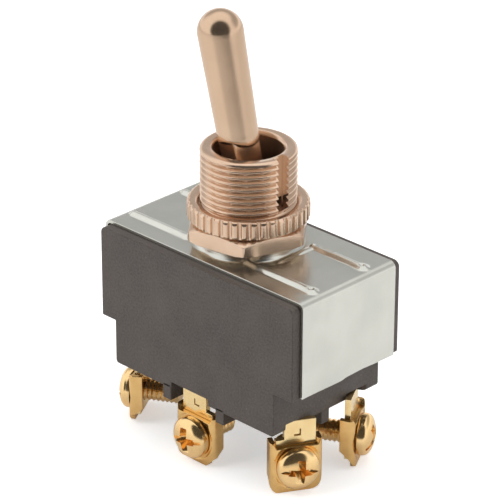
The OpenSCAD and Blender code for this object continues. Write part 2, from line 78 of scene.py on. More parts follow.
# ---------------------------------------------------------------- shader maths

class Signal:
    """A value that runs between shader nodes and can be used in ordinary sums.

    Args:
        graph: The graph that the value belongs to.
        socket: The output socket that carries it.
    """

    def __init__(self, graph: "Graph", socket: bpy.types.NodeSocket) -> None:
        """Keeps the graph and the socket."""
        self.graph = graph
        self.socket = socket

    def _sum(self, operation: str, first: "Operand", second: "Operand" = 0.0) -> "Signal":
        """Adds one Math node.

        Args:
            operation: The Math node's operation.
            first: Its first input.
            second: Its second input.

        Returns:
            The node's result.
        """
        made = self.graph.add("ShaderNodeMath", {0: first, 1: second}, operation=operation)
        return Signal(self.graph, made.outputs[0])

    def __add__(self, other: "Operand") -> "Signal":
        """Returns this plus other."""
        return self._sum("ADD", self, other)

    def __radd__(self, other: "Operand") -> "Signal":
        """Returns other plus this."""
        return self._sum("ADD", other, self)

    def __sub__(self, other: "Operand") -> "Signal":
        """Returns this less other."""
        return self._sum("SUBTRACT", self, other)

    def __rsub__(self, other: "Operand") -> "Signal":
        """Returns other less this."""
        return self._sum("SUBTRACT", other, self)

    def __mul__(self, other: "Operand") -> "Signal":
        """Returns this times other."""
        return self._sum("MULTIPLY", self, other)

    def __rmul__(self, other: "Operand") -> "Signal":
        """Returns other times this."""
        return self._sum("MULTIPLY", other, self)

    def remap(self, low: Number, high: Number, to_low: Number, to_high: Number) -> "Signal":
        """Stretches a range on to another, held at both ends.

        Args:
            low: Value that becomes to_low.
            high: Value that becomes to_high.
            to_low: Result at low.
            to_high: Result at high.

        Returns:
            The stretched value.
        """
        made = self.graph.add("ShaderNodeMapRange", {0: self, 1: low, 2: high, 3: to_low, 4: to_high}, clamp=True)
        return Signal(self.graph, made.outputs[0])


Operand = Union[Signal, Number, Sequence[float]]


class Graph:
    """Builds one material's or world's nodes.

    Args:
        tree: The node tree to fill, which is emptied first.
    """

    def __init__(self, tree: bpy.types.NodeTree) -> None:
        """Takes the tree and empties it."""
        self.tree = tree
        tree.nodes.clear()

    def add(self, kind: str, inputs: Optional[Dict[Union[int, str], Operand]] = None,
            **settings: object) -> bpy.types.Node:
        """Adds any node, sets its properties and fills its inputs.

        Args:
            kind: The node's type name.
            inputs: Input number or name to a value or a signal.
            **settings: Properties of the node.

        Returns:
            The node.
        """
        made = self.tree.nodes.new(kind)
        for name, value in settings.items():
            setattr(made, name, value)
        for key, value in (inputs or {}).items():
            if isinstance(value, Signal):
                self.tree.links.new(value.socket, made.inputs[key])
            else:
                made.inputs[key].default_value = value
        return made

    def place(self, stretch: Point = (1.0, 1.0, 1.0)) -> Signal:
        """The point on the object in its own space, stretched along each axis.

        Args:
            stretch: Factor along X, Y and Z.

        Returns:
            The point as a vector.
        """
        coordinates = self.add("ShaderNodeTexCoord").outputs["Object"]
        made = self.add("ShaderNodeVectorMath", {0: Signal(self, coordinates), 1: stretch}, operation="MULTIPLY")
        return Signal(self, made.outputs[0])

    def noise(self, size_mm: Number, detail: Number = 3.0, roughness: Number = 0.5,
              stretch: Point = (1.0, 1.0, 1.0)) -> Signal:
        """Soft random pattern from 0 to 1.

        Args:
            size_mm: Size of its largest blots.
            detail: Number of finer layers.
            roughness: Strength of the finer layers.
            stretch: Factor along X, Y and Z, where under 1 draws the pattern out.

        Returns:
            The pattern.
        """
        made = self.add("ShaderNodeTexNoise", {"Vector": self.place(stretch), "Scale": 1000.0 / size_mm,
                                              "Detail": detail, "Roughness": roughness})
        return Signal(self, made.outputs[0])

    def specks(self, size_mm: Number, reach: Number) -> Signal:
        """Scattered round specks, 1 at their middle.

        Args:
            size_mm: Spacing of the specks.
            reach: Radius of a speck as a share of the spacing.

        Returns:
            The pattern.
        """
        made = self.add("ShaderNodeTexVoronoi", {"Vector": self.place(), "Scale": 1000.0 / size_mm})
        return Signal(self, made.outputs[0]).remap(0.0, reach, 1.0, 0.0)

    def blend(self, share: Operand, first: Operand, second: Operand) -> Signal:
        """Mixes two colours.

        Args:
            share: 0 for the first, 1 for the second.
            first: Colour at 0.
            second: Colour at 1.

        Returns:
            The mixed colour.
        """
        def full(value: Operand) -> Operand:
            """Gives a plain colour its fourth number."""
            return value if isinstance(value, Signal) else (*value, 1.0)

        made = self.add("ShaderNodeMix", {0: share, 6: full(first), 7: full(second)}, data_type="RGBA")
        return Signal(self, made.outputs[2])

    def bump(self, height: Signal, depth_mm: Number, base: Optional[Signal] = None) -> Signal:
        """Turns a height into a bent normal.

        Args:
            height: Height from 0 to 1.
            depth_mm: Real depth of a height of 1.
            base: A normal to bend further.

        Returns:
            The normal.
        """
        inputs: Dict[Union[int, str], Operand] = {"Height": height, "Distance": depth_mm * MM, "Strength": 1.0}
        if base is not None:
            inputs["Normal"] = base
        return Signal(self, self.add("ShaderNodeBump", inputs).outputs[0])

    def dot(self, first: Operand, second: Operand) -> Signal:
        """How far two directions agree, 1 where they are the same."""
        made = self.add("ShaderNodeVectorMath", {0: first, 1: second}, operation="DOT_PRODUCT")
        return Signal(self, made.outputs["Value"])

    def heading(self) -> Signal:
        """Direction from the origin to the point being shaded."""
        spot = Signal(self, self.add("ShaderNodeNewGeometry").outputs["Position"])
        return Signal(self, self.add("ShaderNodeVectorMath", {0: spot}, operation="NORMALIZE").outputs[0])

    def crevices(self, reach_mm: Number) -> Signal:
        """Share of light kept out of a crevice, 0 in the open."""
        made = self.add("ShaderNodeAmbientOcclusion", {"Distance": reach_mm * MM}, samples=6, only_local=True)
        return 1.0 - Signal(self, made.outputs["AO"])

    def to_camera(self) -> Signal:
        """1 for rays that leave the camera, else 0."""
        return Signal(self, self.add("ShaderNodeLightPath").outputs["Is Camera Ray"])

    def surface(self, **inputs: Operand) -> None:
        """Ends a material with one Principled shader.

        Args:
            **inputs: Its inputs by name, with _ for each space.
        """
        made = self.add("ShaderNodeBsdfPrincipled", {k.replace("_", " "): v for k, v in inputs.items()})
        self.add("ShaderNodeOutputMaterial", {0: Signal(self, made.outputs[0])})


# ---------------------------------------------------------------- finishes

def new_material(name: str) -> Tuple[bpy.types.Material, Graph]:
    """Starts a material.

    Args:
        name: Its name.

    Returns:
        The material and its empty graph.
    """
    made = bpy.data.materials.new(name)
    made.use_nodes = True
    return made, Graph(made.node_tree)


class Grain(Enum):
    """Which way a metal's fine lines run."""

    NONE = (1.0, 1.0, 1.0)
    ALONG_Y = (1.0, 0.05, 1.0)
    ALONG_Z = (1.0, 1.0, 0.04)


@dataclass(frozen=True)
class Metal:
    """A plated or bare metal with tarnish, fine lines, handling marks and painted shade darkening its crevices."""

    name: str
    colour: Colour
    tarnish: Colour
    roughness: float
    roughness_swing: float = 0.12
    blot_mm: float = 5.0
    tarnish_share: float = 0.6
    grain: Grain = Grain.NONE
    grain_mm: float = 0.35
    grain_depth_mm: float = 0.004
    dent_depth_mm: float = 0.0
    dent_mm: float = 4.0
    speck_mm: float = 1.7
    speck_reach: float = 0.16
    speck_share: float = 0.12
    # The next three set the painted shade in crevices: how far it reaches, how dark its tint is and how strongly it
    # darkens.
    crevice_mm: float = 0.5
    crevice_shade_tint: float = 0.35
    crevice_shade_share: float = 0.65
    metallic: float = 0.95

    def build(self) -> bpy.types.Material:
        """Makes the material.

        Returns:
            The material.
        """
        made, graph = new_material(self.name)
        blots = graph.noise(self.blot_mm, 4.0, 0.55).remap(0.38, 0.68, 0.0, 1.0)
        fine = graph.noise(self.grain_mm, 3.0, 0.6, self.grain.value)
        specks = graph.specks(self.speck_mm, self.speck_reach)
        colour = graph.blend(blots * self.tarnish_share, self.colour, self.tarnish)
        colour = graph.blend(specks * self.speck_share, colour, self.tarnish)
        # Painted shade: the colour is darkened toward a deep tint of the tarnish wherever ambient occlusion finds a
        # crevice or groove.
        crevice_shade_tint = tuple(c * self.crevice_shade_tint for c in self.tarnish)
        crevices = graph.crevices(self.crevice_mm).remap(0.42, 0.92, 0.0, self.crevice_shade_share)
        colour = graph.blend(crevices, colour, crevice_shade_tint)
        rough = blots * self.roughness_swing + fine * 0.08 + (self.roughness - 0.04)
        normal = graph.bump(fine, self.grain_depth_mm)
        if self.dent_depth_mm:
            normal = graph.bump(graph.noise(self.dent_mm, 1.0, 0.4), self.dent_depth_mm, normal)
        graph.surface(Base_Color=colour, Metallic=self.metallic, Roughness=rough, Normal=normal)
        log.info("finish %s", self.name)
        return made


@dataclass(frozen=True)
class Plastic:
    """A moulded plastic with a faint skin texture, dust and rubbed patches."""

    name: str
    colour: Colour
    rubbed: Colour
    roughness: float
    skin_mm: float = 0.35
    skin_depth_mm: float = 0.008
    specular: float = 0.45
    patch_mm: float = 7.0
    mottle_mm: float = 0.3
    mottle_share: float = 0.6
    dust: Colour = (0.35, 0.33, 0.30)
    dust_mm: float = 2.6
    dust_reach: float = 0.055
    dust_share: float = 0.35

    def build(self) -> bpy.types.Material:
        """Makes the material.

        Returns:
            The material.
        """
        made, graph = new_material(self.name)
        patches = graph.noise(self.patch_mm, 4.0, 0.6).remap(0.35, 0.7, 0.0, 1.0)
        mottle = graph.noise(self.mottle_mm, 2.0, 0.7).remap(0.3, 0.7, 0.0, 1.0)
        dust = graph.specks(self.dust_mm, self.dust_reach)
        skin = graph.noise(self.skin_mm, 4.0, 0.6)
        worn = patches * (1.0 - self.mottle_share) + mottle * self.mottle_share
        colour = graph.blend(worn, self.colour, self.rubbed)
        colour = graph.blend(dust * self.dust_share, colour, self.dust)
        rough = patches * 0.12 + mottle * 0.1 + (self.roughness - 0.1)
        graph.surface(Base_Color=colour, Roughness=rough, Specular_IOR_Level=self.specular,
                      Normal=graph.bump(skin, self.skin_depth_mm))
        log.info("finish %s", self.name)
        return made


class Finish(Enum):
    """Every finish on the switch."""

    PHENOLIC = Plastic("moulded_phenolic", (0.046, 0.035, 0.029), (0.130, 0.108, 0.094), roughness=0.50)
    CARD = Plastic("fibre_card", (0.16, 0.10, 0.06), (0.22, 0.15, 0.10), roughness=0.8)
    YOKE = Plastic("dark_moulding", (0.035, 0.025, 0.020), (0.055, 0.042, 0.036), roughness=0.5)
    ZINC = Metal("zinc_plated_strap", (0.70, 0.695, 0.64), (0.59, 0.60, 0.545), roughness=0.215, roughness_swing=0.04,
                 blot_mm=6.0, tarnish_share=0.6, grain=Grain.ALONG_Y, grain_mm=0.5, grain_depth_mm=0.0006,
                 dent_depth_mm=0.004, dent_mm=5.0, metallic=0.97)
    NICKEL = Metal("dull_nickel", (0.75, 0.545, 0.40), (0.61, 0.415, 0.295), roughness=0.18, roughness_swing=0.08,
                   blot_mm=4.0, tarnish_share=0.5, grain_mm=0.25, grain_depth_mm=0.0015, metallic=0.9)
    LEVER = Metal("nickel_lever", (0.68, 0.485, 0.34), (0.58, 0.395, 0.265), roughness=0.18, roughness_swing=0.05,
                  blot_mm=6.0, tarnish_share=0.4, grain=Grain.ALONG_Z, grain_mm=0.3, grain_depth_mm=0.003)
    TAB = Metal("yellow_brass_tab", (0.95, 0.735, 0.385), (0.84, 0.57, 0.25), roughness=0.18, roughness_swing=0.08,
                blot_mm=2.5, tarnish_share=0.5, grain_mm=0.3, grain_depth_mm=0.002)
    CLAMP = Metal("yellow_brass_clamp", (0.84, 0.54, 0.22), (0.64, 0.36, 0.115), roughness=0.17, roughness_swing=0.08,
                  blot_mm=3.0, tarnish_share=0.5, grain_mm=0.3, grain_depth_mm=0.002, dent_depth_mm=0.012,
                  dent_mm=3.0, metallic=0.97)
    SCREW = Metal("yellow_brass_screw", (0.95, 0.66, 0.32), (0.81, 0.49, 0.19), roughness=0.16, roughness_swing=0.06,
                  blot_mm=2.0, tarnish_share=0.4, grain_mm=0.25, grain_depth_mm=0.001, metallic=0.97)
    COPPER = Metal("contact_copper", (0.70, 0.36, 0.20), (0.45, 0.20, 0.10), roughness=0.35)
    SILVER = Metal("contact_silver", (0.86, 0.85, 0.83), (0.60, 0.56, 0.50), roughness=0.30)
    # Painted shade: the ball and stem under the neck are near black, so the neck's window reads as the dark bore.
    SHADE_DARK_STEEL = Metal("shade_dark_steel", (0.10, 0.075, 0.06), (0.05, 0.04, 0.035), roughness=0.45)
    STEEL = Metal("plain_steel", (0.55, 0.54, 0.53), (0.40, 0.38, 0.36), roughness=0.33)

    def material(self) -> bpy.types.Material:
        """The finish's material, made the first time that it is asked for.

        Returns:
            The material.
        """
        return bpy.data.materials.get(self.value.name) or self.value.build()


# ---------------------------------------------------------------- mesh making

def shade(mesh: bmesh.types.BMesh, smooth_deg: float) -> None:
    """Shades a mesh smooth, apart from its sharp edges.

    Args:
        mesh: The mesh.
        smooth_deg: Edges that turn by less than this are shaded smooth.
    """
    for edge in mesh.edges:
        edge.smooth = edge.calc_face_angle(0.0) < math.radians(smooth_deg)
    for face in mesh.faces:
        face.smooth = True


def soften(made: bpy.types.Object, width_mm: float, segments: int, sharp_deg: float, harden: bool = False) -> None:
    """Rounds a piece's sharp edges.

    Args:
        made: The piece.
        width_mm: Width of the rounding.
        segments: Steps across it.
        sharp_deg: Edges that turn by more than this are rounded.
        harden: Whether the flat faces beside it keep their own shading.
    """
    soft = made.modifiers.new("soft_edges", "BEVEL")
    soft.width = width_mm * MM
    soft.segments = segments
    soft.limit_method = "ANGLE"
    soft.angle_limit = math.radians(sharp_deg)
    soft.use_clamp_overlap = False
    soft.harden_normals = harden


class Shape:
    """A mesh under construction, in millimetres of the switch's own frame.

    Args:
        name: Name of the piece.
    """

    def __init__(self, name: str) -> None:
        """Starts an empty mesh."""
        self.name = name
        self.mesh = bmesh.new()

    def rings(self, rings: Sequence[Sequence[Point]], close_ends: bool = False) -> None:
        """Joins closed rings of points into a skin.

        Args:
            rings: Rings with equally many points, from one end to the other.
            close_ends: Whether the last ring also joins the first.
        """
        made = [[self.mesh.verts.new(Vector(p) * MM) for p in ring] for ring in rings]
        pairs = list(zip(made, made[1:]))
        if close_ends:
            pairs.append((made[-1], made[0]))
        for low, high in pairs:
            for i in range(len(low)):
                j = (i + 1) % len(low)
                self.mesh.faces.new((low[i], low[j], high[j], high[i]))

    def cap(self, ring: Sequence[Point], flip: bool = False) -> None:
        """Closes a ring with one face.

        Args:
            ring: The ring's points.
            flip: Whether the face looks the other way.
        """
        points = [self.mesh.verts.new(Vector(p) * MM) for p in ring]
        self.mesh.faces.new(points[::-1] if flip else points)

    def closed(self, rings: Sequence[Sequence[Point]], turned: bool = False) -> None:
        """Joins rings into a skin and closes both ends.

        Args:
            rings: Rings with equally many points, from one end to the other.
            turned: Whether the rings run the other way round.
        """
        self.rings(rings)
        self.cap(rings[0], flip=not turned)
        self.cap(rings[-1], flip=turned)

    def skin(self, grid: Sequence[Sequence[bmesh.types.BMVert]]) -> None:
        """Joins a grid of points, already in the mesh, into a skin.

        Args:
            grid: Its lines of points.
        """
        for near, far in zip(grid, grid[1:]):
            for j in range(len(near) - 1):
                self.mesh.faces.new((near[j], far[j], far[j + 1], near[j + 1]))

    def block(self, low: Point, high: Point) -> None:
        """Adds a plain block.

        Args:
            low: Its lower corner.
            high: Its upper corner.
        """
        self.closed([[(low[0], low[1], z), (high[0], low[1], z), (high[0], high[1], z), (low[0], high[1], z)]
                     for z in (low[2], high[2])])

    def finish(self, finish: Finish, smooth_deg: float = 40.0) -> bpy.types.Object:
        """Makes the object.

        Args:
            finish: Its finish.
            smooth_deg: Edges that turn by less than this are shaded smooth.

        Returns:
            The object, not yet riding on a body.
        """
        bmesh.ops.remove_doubles(self.mesh, verts=self.mesh.verts, dist=1e-7)
        bmesh.ops.recalc_face_normals(self.mesh, faces=self.mesh.faces)
        shade(self.mesh, smooth_deg)
        data = bpy.data.meshes.new(self.name)
        self.mesh.to_mesh(data)
        self.mesh.free()
        data.materials.append(finish.material())
        made = bpy.data.objects.new(self.name, data)
        bpy.context.scene.collection.objects.link(made)
        log.info("piece %s, %d faces", self.name, len(data.polygons))
        return made


class Node:
    """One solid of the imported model, kept in its place and dressed."""

    def __init__(self, name: str) -> None:
        """Finds the solid and its two corners, in millimetres.

        Args:
            name: The node's name.
        """
        self.name = name
        self.body: bpy.types.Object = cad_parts[name]
        self.low, self.high = (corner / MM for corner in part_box(name))

    def dress(self, finish: Finish, edge_mm: float = 0.0) -> None:
        """Gives the node its finish and softens its edges.

        Args:
            finish: The finish.
            edge_mm: Width of the softened edges, or 0 for none.
        """
        self.body.data.materials.clear()
        self.body.data.materials.append(finish.material())
        if edge_mm:
            weld = self.body.modifiers.new("weld", "WELD")
            weld.merge_threshold = 2e-6
            flat = self.body.modifiers.new("flat_faces", "DECIMATE")
            flat.decimate_type = "DISSOLVE"
            flat.angle_limit = math.radians(0.6)
            soften(self.body, edge_mm, 2, 32)
            even = self.body.modifiers.new("even_shading", "WEIGHTED_NORMAL")
            even.keep_sharp = False
            even.weight = 50
        log.info("node %s wears %s", self.name, finish.value.name)


# ---------------------------------------------------------------- studio

@dataclass(frozen=True)
class Softbox:
    """One soft square light, which shiny surfaces don't show.

    Args:
        name: Its name.
        spot: Where it stands, in millimetres.
        size: Its side, in millimetres.
        power: Its power in watts.
    """

    name: str
    spot: Point
    size: float
    power: float

    def build(self, aim: Point) -> None:
        """Sets the light up.

        Args:
            aim: The point that it faces, in millimetres.
        """
        data = bpy.data.lights.new(self.name, "AREA")
        data.energy, data.size, data.color = self.power, self.size * MM, (1.0, 1.0, 1.0)
        made = bpy.data.objects.new(self.name, data)
        made.location = Vector(self.spot) * MM
        made.rotation_mode = "QUATERNION"
        made.rotation_quaternion = (Vector(aim) - Vector(self.spot)).to_track_quat("-Z", "Y")
        made.visible_glossy = False
        bpy.context.scene.collection.objects.link(made)


@dataclass(frozen=True)
class Studio:
    """Camera, soft lights, white surroundings and the pale floor.

    The camera's place is given along its own right, up and back directions from a point on the deck of the strap.
    Shiny surfaces see a bright tent with a dark opening (opening_deg, from clear to dark) and a grey wall behind the
    switch, which stands in the band of heights wall_band and toward wall_way.
    """

    azimuth_deg: float = 44.35
    elevation_deg: float = 26.04
    roll_deg: float = 0.162
    distance: float = 375.39
    across: float = 0.191
    rise: float = -1.294
    lens: float = 216.0
    sensor: float = 36.0
    deck: float = -5.85
    tent: float = 1.15
    wall: float = 0.45
    dark: float = 0.05
    opening_deg: Tuple[float, float] = (53.0, 45.0)
    wall_way: Point = (-0.34, 0.94, 0.0)
    wall_sides: Tuple[float, float] = (0.1, 0.5)
    wall_band: Tuple[float, float, float, float] = (0.16, 0.32, 0.62, 0.82)
    floor_reach: float = 3000.0
    floor_shade: float = 0.8
    floor_shade_deg: Tuple[float, float] = (44.0, 30.0)
    floor_colour: Colour = (0.86, 0.86, 0.855)
    floor_rough: float = 0.9
    floor_glow: float = 0.5
    floor_shine: float = 0.13
    aim: Point = (0.0, 0.0, -10.0)
    softboxes: Tuple[Softbox, ...] = (Softbox("key", (-160.0, -260.0, 330.0), 200.0, 0.4),
                                      Softbox("fill", (330.0, -60.0, 200.0), 200.0, 0.18),
                                      Softbox("top", (40.0, 120.0, 420.0), 260.0, 0.3))

    def directions(self) -> Tuple[Vector, Vector, Vector]:
        """The camera's right, up and back directions.

        Returns:
            The three unit vectors.
        """
        a, e, roll = (math.radians(v) for v in (self.azimuth_deg, self.elevation_deg, self.roll_deg))
        right = Vector((math.cos(a), math.sin(a), 0.0))
        up = Vector((-math.sin(a) * math.sin(e), math.cos(a) * math.sin(e), math.cos(e)))
        back = Vector((math.sin(a) * math.cos(e), -math.cos(a) * math.cos(e), math.sin(e)))
        return (right * math.cos(roll) + up * math.sin(roll), up * math.cos(roll) - right * math.sin(roll), back)

    def camera(self) -> None:
        """Sets up the camera."""
        right, up, back = self.directions()
        data = bpy.data.cameras.new("camera")
        data.lens, data.sensor_width, data.clip_start, data.clip_end = self.lens, self.sensor, 0.01, 20.0
        made = bpy.data.objects.new("camera", data)
        turn = Matrix((right, up, back)).transposed()
        spot = (right * self.across + up * self.rise + back * self.distance + Vector((0, 0, self.deck))) * MM
        made.matrix_world = Matrix.Translation(spot) @ turn.to_4x4()
        bpy.context.scene.collection.objects.link(made)
        bpy.context.scene.camera = made

    def surroundings(self) -> None:
        """White to the camera, and to everything else a soft white tent that is dark where the camera looks in."""
        world = bpy.data.worlds.new("surroundings")
        bpy.context.scene.world = world
        world.use_nodes = True
        graph = Graph(world.node_tree)
        way = Signal(graph, graph.add("ShaderNodeTexCoord").outputs["Generated"])
        height = Signal(graph, graph.add("ShaderNodeSeparateXYZ", {0: way}).outputs["Z"])
        toward = graph.dot(way, tuple(self.directions()[2]))
        opening = toward.remap(*(math.cos(math.radians(v)) for v in self.opening_deg), 0.0, 1.0)
        band = height.remap(*self.wall_band[:2], 0.0, 1.0) * height.remap(*self.wall_band[2:], 1.0, 0.0)
        band = band * graph.dot(way, self.wall_way).remap(*self.wall_sides, 0.0, 1.0)
        light = (1.0 - band * (1.0 - self.wall)) * (1.0 - opening * (1.0 - self.dark))
        room = graph.blend(light, (0.0, 0.0, 0.0), (self.tent,) * 3)
        inside = graph.add("ShaderNodeBackground", {0: room, 1: 1.0})
        behind = graph.add("ShaderNodeBackground", {0: (1.0, 1.0, 1.0, 1.0), 1: 1.0})
        made = graph.add("ShaderNodeMixShader", {0: graph.to_camera(), 1: Signal(graph, inside.outputs[0]),
                                                 2: Signal(graph, behind.outputs[0])})
        graph.add("ShaderNodeOutputWorld", {0: Signal(graph, made.outputs[0])})

    def floor(self, level: float) -> None:
        """Lays the plain pale floor.

        Args:
            level: Its height, in millimetres.
        """
        shape, far = Shape("floor"), self.floor_reach
        shape.cap([(-far, -far, level), (far, -far, level), (far, far, level), (-far, far, level)])
        made = shape.finish(Finish.STEEL)
        made.data.materials.clear()
        made.data.materials.append(self.paint())
        made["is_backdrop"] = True

    def paint(self) -> bpy.types.Material:
        """Makes the floor's paint, which the camera sees as white apart from the soft shadow.

        Returns:
            The material.
        """
        made, graph = new_material("pale_floor")
        white, black = (1.0, 1.0, 1.0), (0.0, 0.0, 0.0)
        mottle = graph.noise(60.0, 2.0).remap(0.3, 0.7, 0.0, 1.0)
        colour = graph.blend(mottle, self.floor_colour, tuple(c * 0.995 for c in self.floor_colour))
        seen = graph.add("ShaderNodeBsdfPrincipled", {
            "Base Color": colour, "Roughness": self.floor_rough, "Specular IOR Level": 0.0,
            "Emission Color": (*white, 1.0), "Emission Strength": self.floor_glow})
        back = self.directions()[2]
        toward = graph.dot(graph.heading(), tuple(Vector((back.x, back.y, 0.0)).normalized()))
        edges = (math.cos(math.radians(v)) for v in self.floor_shade_deg)
        shade_share = toward.remap(*edges, 0.0, 1.0 - self.floor_shade)
        mirrored = graph.add("ShaderNodeBsdfPrincipled", {
            "Base Color": graph.blend(shade_share, colour, black), "Roughness": self.floor_rough,
            "Specular IOR Level": 0.0, "Emission Color": graph.blend(shade_share, white, black),
            "Emission Strength": self.floor_shine})
        both = graph.add("ShaderNodeMixShader", {0: graph.to_camera(), 1: Signal(graph, mirrored.outputs[0]),
                                                 2: Signal(graph, seen.outputs[0])})
        graph.add("ShaderNodeOutputMaterial", {0: Signal(graph, both.outputs[0])})
        return made

    def build(self, level: float) -> None:
        """Sets up everything that isn't part of the switch.

        Args:
            level: Height of the floor, in millimetres.
        """
        bpy.context.scene.view_settings.view_transform = "Standard"
        self.camera()
        self.surroundings()
        for softbox in self.softboxes:
            softbox.build(self.aim)
        self.floor(level)
        log.info("studio with %d soft lights", len(self.softboxes))


# ---------------------------------------------------------------- the switch's pieces

def arc(x: float, z: float, radius: float, start_deg: float, end_deg: float, steps: int) -> List[Tuple[float, float]]:
    """Points along an arc in a plane.

    Args:
        x: Middle of the arc, first coordinate.
        z: Middle of the arc, second coordinate.
        radius: Radius.
        start_deg: Angle of the first point.
        end_deg: Angle of the last point.
        steps: Number of stretches.

    Returns:
        The points.
    """
    angles = [math.radians(start_deg + (end_deg - start_deg) * i / steps) for i in range(steps + 1)]
    return [(x + radius * math.cos(a), z + radius * math.sin(a)) for a in angles]


def ease(value: float) -> float:
    """Smooth step.

    Args:
        value: The value, of which 0 to 1 is used.

    Returns:
        0 up to 1, level at both ends.
    """
    held = min(1.0, max(0.0, value))
    return held * held * (3.0 - 2.0 * held)


def spread(low: float, high: float, step: float) -> List[float]:
    """Evenly spaced values.

    Args:
        low: The first.
        high: The last.
        step: The most that two of them lie apart.

    Returns:
        The values.
    """
    count = max(1, math.ceil((high - low) / step))
    return [low + (high - low) * i / count for i in range(count + 1)]


def facing_deg(end: int, side: int, fan_deg: float) -> float:
    """How far a terminal's outward direction is turned from +Y.

    Args:
        end: -1 left, 0 middle, 1 right.
        side: -1 near, 1 far.
        fan_deg: How far an end terminal is turned from the end of the case toward its own side.

    Returns:
        The angle in degrees.
    """
    if end == 0:
        return 0.0 if side > 0 else 180.0
    return -90 + side * fan_deg if end > 0 else 90 - side * fan_deg


@dataclass
class Housing:
    """The moulded case, with its stepped ends, terminal slots and the barriers under it."""

    deck: float = -5.85
    step: float = 13.1
    rim: float = 19.15
    left_in: float = 2.4
    right_in: float = 3.1
    wall: float = 1.5
    shelf: float = 1.6
    floor: float = 2.2
    top_round: float = 0.85
    low_round: float = 0.5
    notch: float = 0.9
    notch_more: float = 1.3
    notch_out: float = 3.0
    tab_wide: float = 5.2
    tab_in: float = 1.5
    tab_thick: float = 0.8
    mid_inset: float = 0.85
    corner_inset: float = 4.15
    end_inset: float = 0.08
    fan_deg: float = 30.0
    slot_in: float = 0.35
    play: float = 0.1
    barrier_x: float = 4.7
    barrier_half: float = 0.75
    barrier_drop: float = 1.75
    partition: float = 3.5
    partition_half: float = 0.5
    edge: float = 0.16
    node: Node = field(default_factory=lambda: Node("case"))

    def __post_init__(self) -> None:
        """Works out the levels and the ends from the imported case."""
        self.half, self.side, self.top = self.node.high.x, self.node.high.y, self.node.high.z
        self.step_z, self.rim_z = self.deck - self.step, self.deck - self.rim
        self.left, self.right = -self.half + self.left_in, self.half - self.right_in
        self.middle = (self.left + self.right) / 2

    def outline(self) -> List[Tuple[float, float]]:
        """The outline of the two broad sides.

        Returns:
            Its points, as X and Z.
        """
        low, r, q = self.rim_z, self.low_round, self.top_round
        points = arc(self.right - r, low + r, r, 270, 360, 5)
        points += [(self.right, self.step_z), (self.half, self.step_z)]
        points += arc(self.half - q, self.top - q, q, 0, 90, 8)
        points += arc(-self.half + q, self.top - q, q, 90, 180, 8)
        points += [(-self.half, self.step_z), (self.left, self.step_z)]
        return points + arc(self.left + r, low + r, r, 180, 270, 5)

    def turned(self, end: int, side: int, low: Point, high: Point) -> bpy.types.Object:
        """A block to cut with, given in a terminal's own directions.

        Args:
            end: -1 left, 0 middle, 1 right.
            side: -1 near, 1 far.
            low: Its lower corner.
            high: Its upper corner.

        Returns:
            The cutter.
        """
        reach = (self.right - self.left) / 2 - self.end_inset
        inset = self.corner_inset if end else self.mid_inset
        spot = Vector((self.middle + end * reach, side * (self.side - inset), 0.0))
        made = box_cutter(low, high)
        turn = Matrix.Rotation(math.radians(facing_deg(end, side, self.fan_deg)), 4, "Z")
        made.data.transform(Matrix.Translation(spot * MM) @ turn)
        return made

    def cutters(self) -> List[bpy.types.Object]:
        """Everything that is cut out of the moulding: the room inside, and the slots and notches of the terminals.

        Returns:
            The cutters.
        """
        inner, floor_z, notch_z = self.side - self.wall, self.rim_z + self.floor, self.rim_z + self.notch
        shelf_z, below, slot_top = self.step_z + self.shelf, self.rim_z - 1, self.rim_z + self.floor + 0.9
        front, back = self.play, -self.tab_thick - self.play
        tab_in, tab_half = self.tab_in + self.play, self.tab_wide / 2 + self.play
        made = [box_cutter((-self.half + self.wall, -inner, shelf_z), (self.half - self.wall, inner, self.top + 1)),
                box_cutter((self.left + self.wall, -inner, floor_z), (self.right - self.wall, inner, shelf_z + 1))]
        for side in (-1, 1):
            made.append(self.turned(0, side, (-tab_in, back, below), (tab_half, front, slot_top)))
            face = self.side - self.mid_inset - 0.2
            low_y, high_y = (face, self.side + 1) if side > 0 else (-self.side - 1, -face)
            made.append(box_cutter((self.middle - self.tab_wide / 2 - self.notch_more, low_y, below),
                                   (self.middle + self.tab_wide / 2, high_y, notch_z)))
            for end in (-1, 1):
                inner_way = 1 if end * side > 0 else -1
                narrow = sorted((-inner_way * self.slot_in, -inner_way * tab_in))
                wide = sorted((-inner_way * tab_in, inner_way * tab_half))
                made.append(self.turned(end, side, (narrow[0], back, below), (narrow[1], front, slot_top)))
                made.append(self.turned(end, side, (wide[0], back, below), (wide[1], self.notch_out, notch_z)))
        return made

    def build(self) -> None:
        """Makes the case and the barriers under it."""
        shape = Shape("moulded_case")
        shape.closed([[(x, y, z) for x, z in self.outline()] for y in (-self.side, self.side)], turned=True)
        case = shape.finish(Finish.PHENOLIC, 30.0)
        carve(case, self.cutters(), 30.0)
        shape = Shape("case_barriers")
        foot, root, floor_z = self.rim_z - self.barrier_drop, self.rim_z + 0.5, self.rim_z + self.floor
        for way in (-1, 1):
            spot = self.middle + way * self.barrier_x
            shape.block((spot - self.barrier_half, -self.side, foot), (spot + self.barrier_half, self.side, root))
        shape.block((self.left + 0.4, -self.barrier_half, foot), (self.right - 0.2, self.barrier_half, root))
        shape.block((self.left + self.wall, -self.partition_half, floor_z - 0.2),
                    (self.right - self.wall, self.partition_half, floor_z + self.partition))
        barriers = shape.finish(Finish.PHENOLIC, 30.0)
        for made in (case, barriers):
            soften(made, self.edge, 3, 40, harden=True)
            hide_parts("case")
            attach(made, "base")


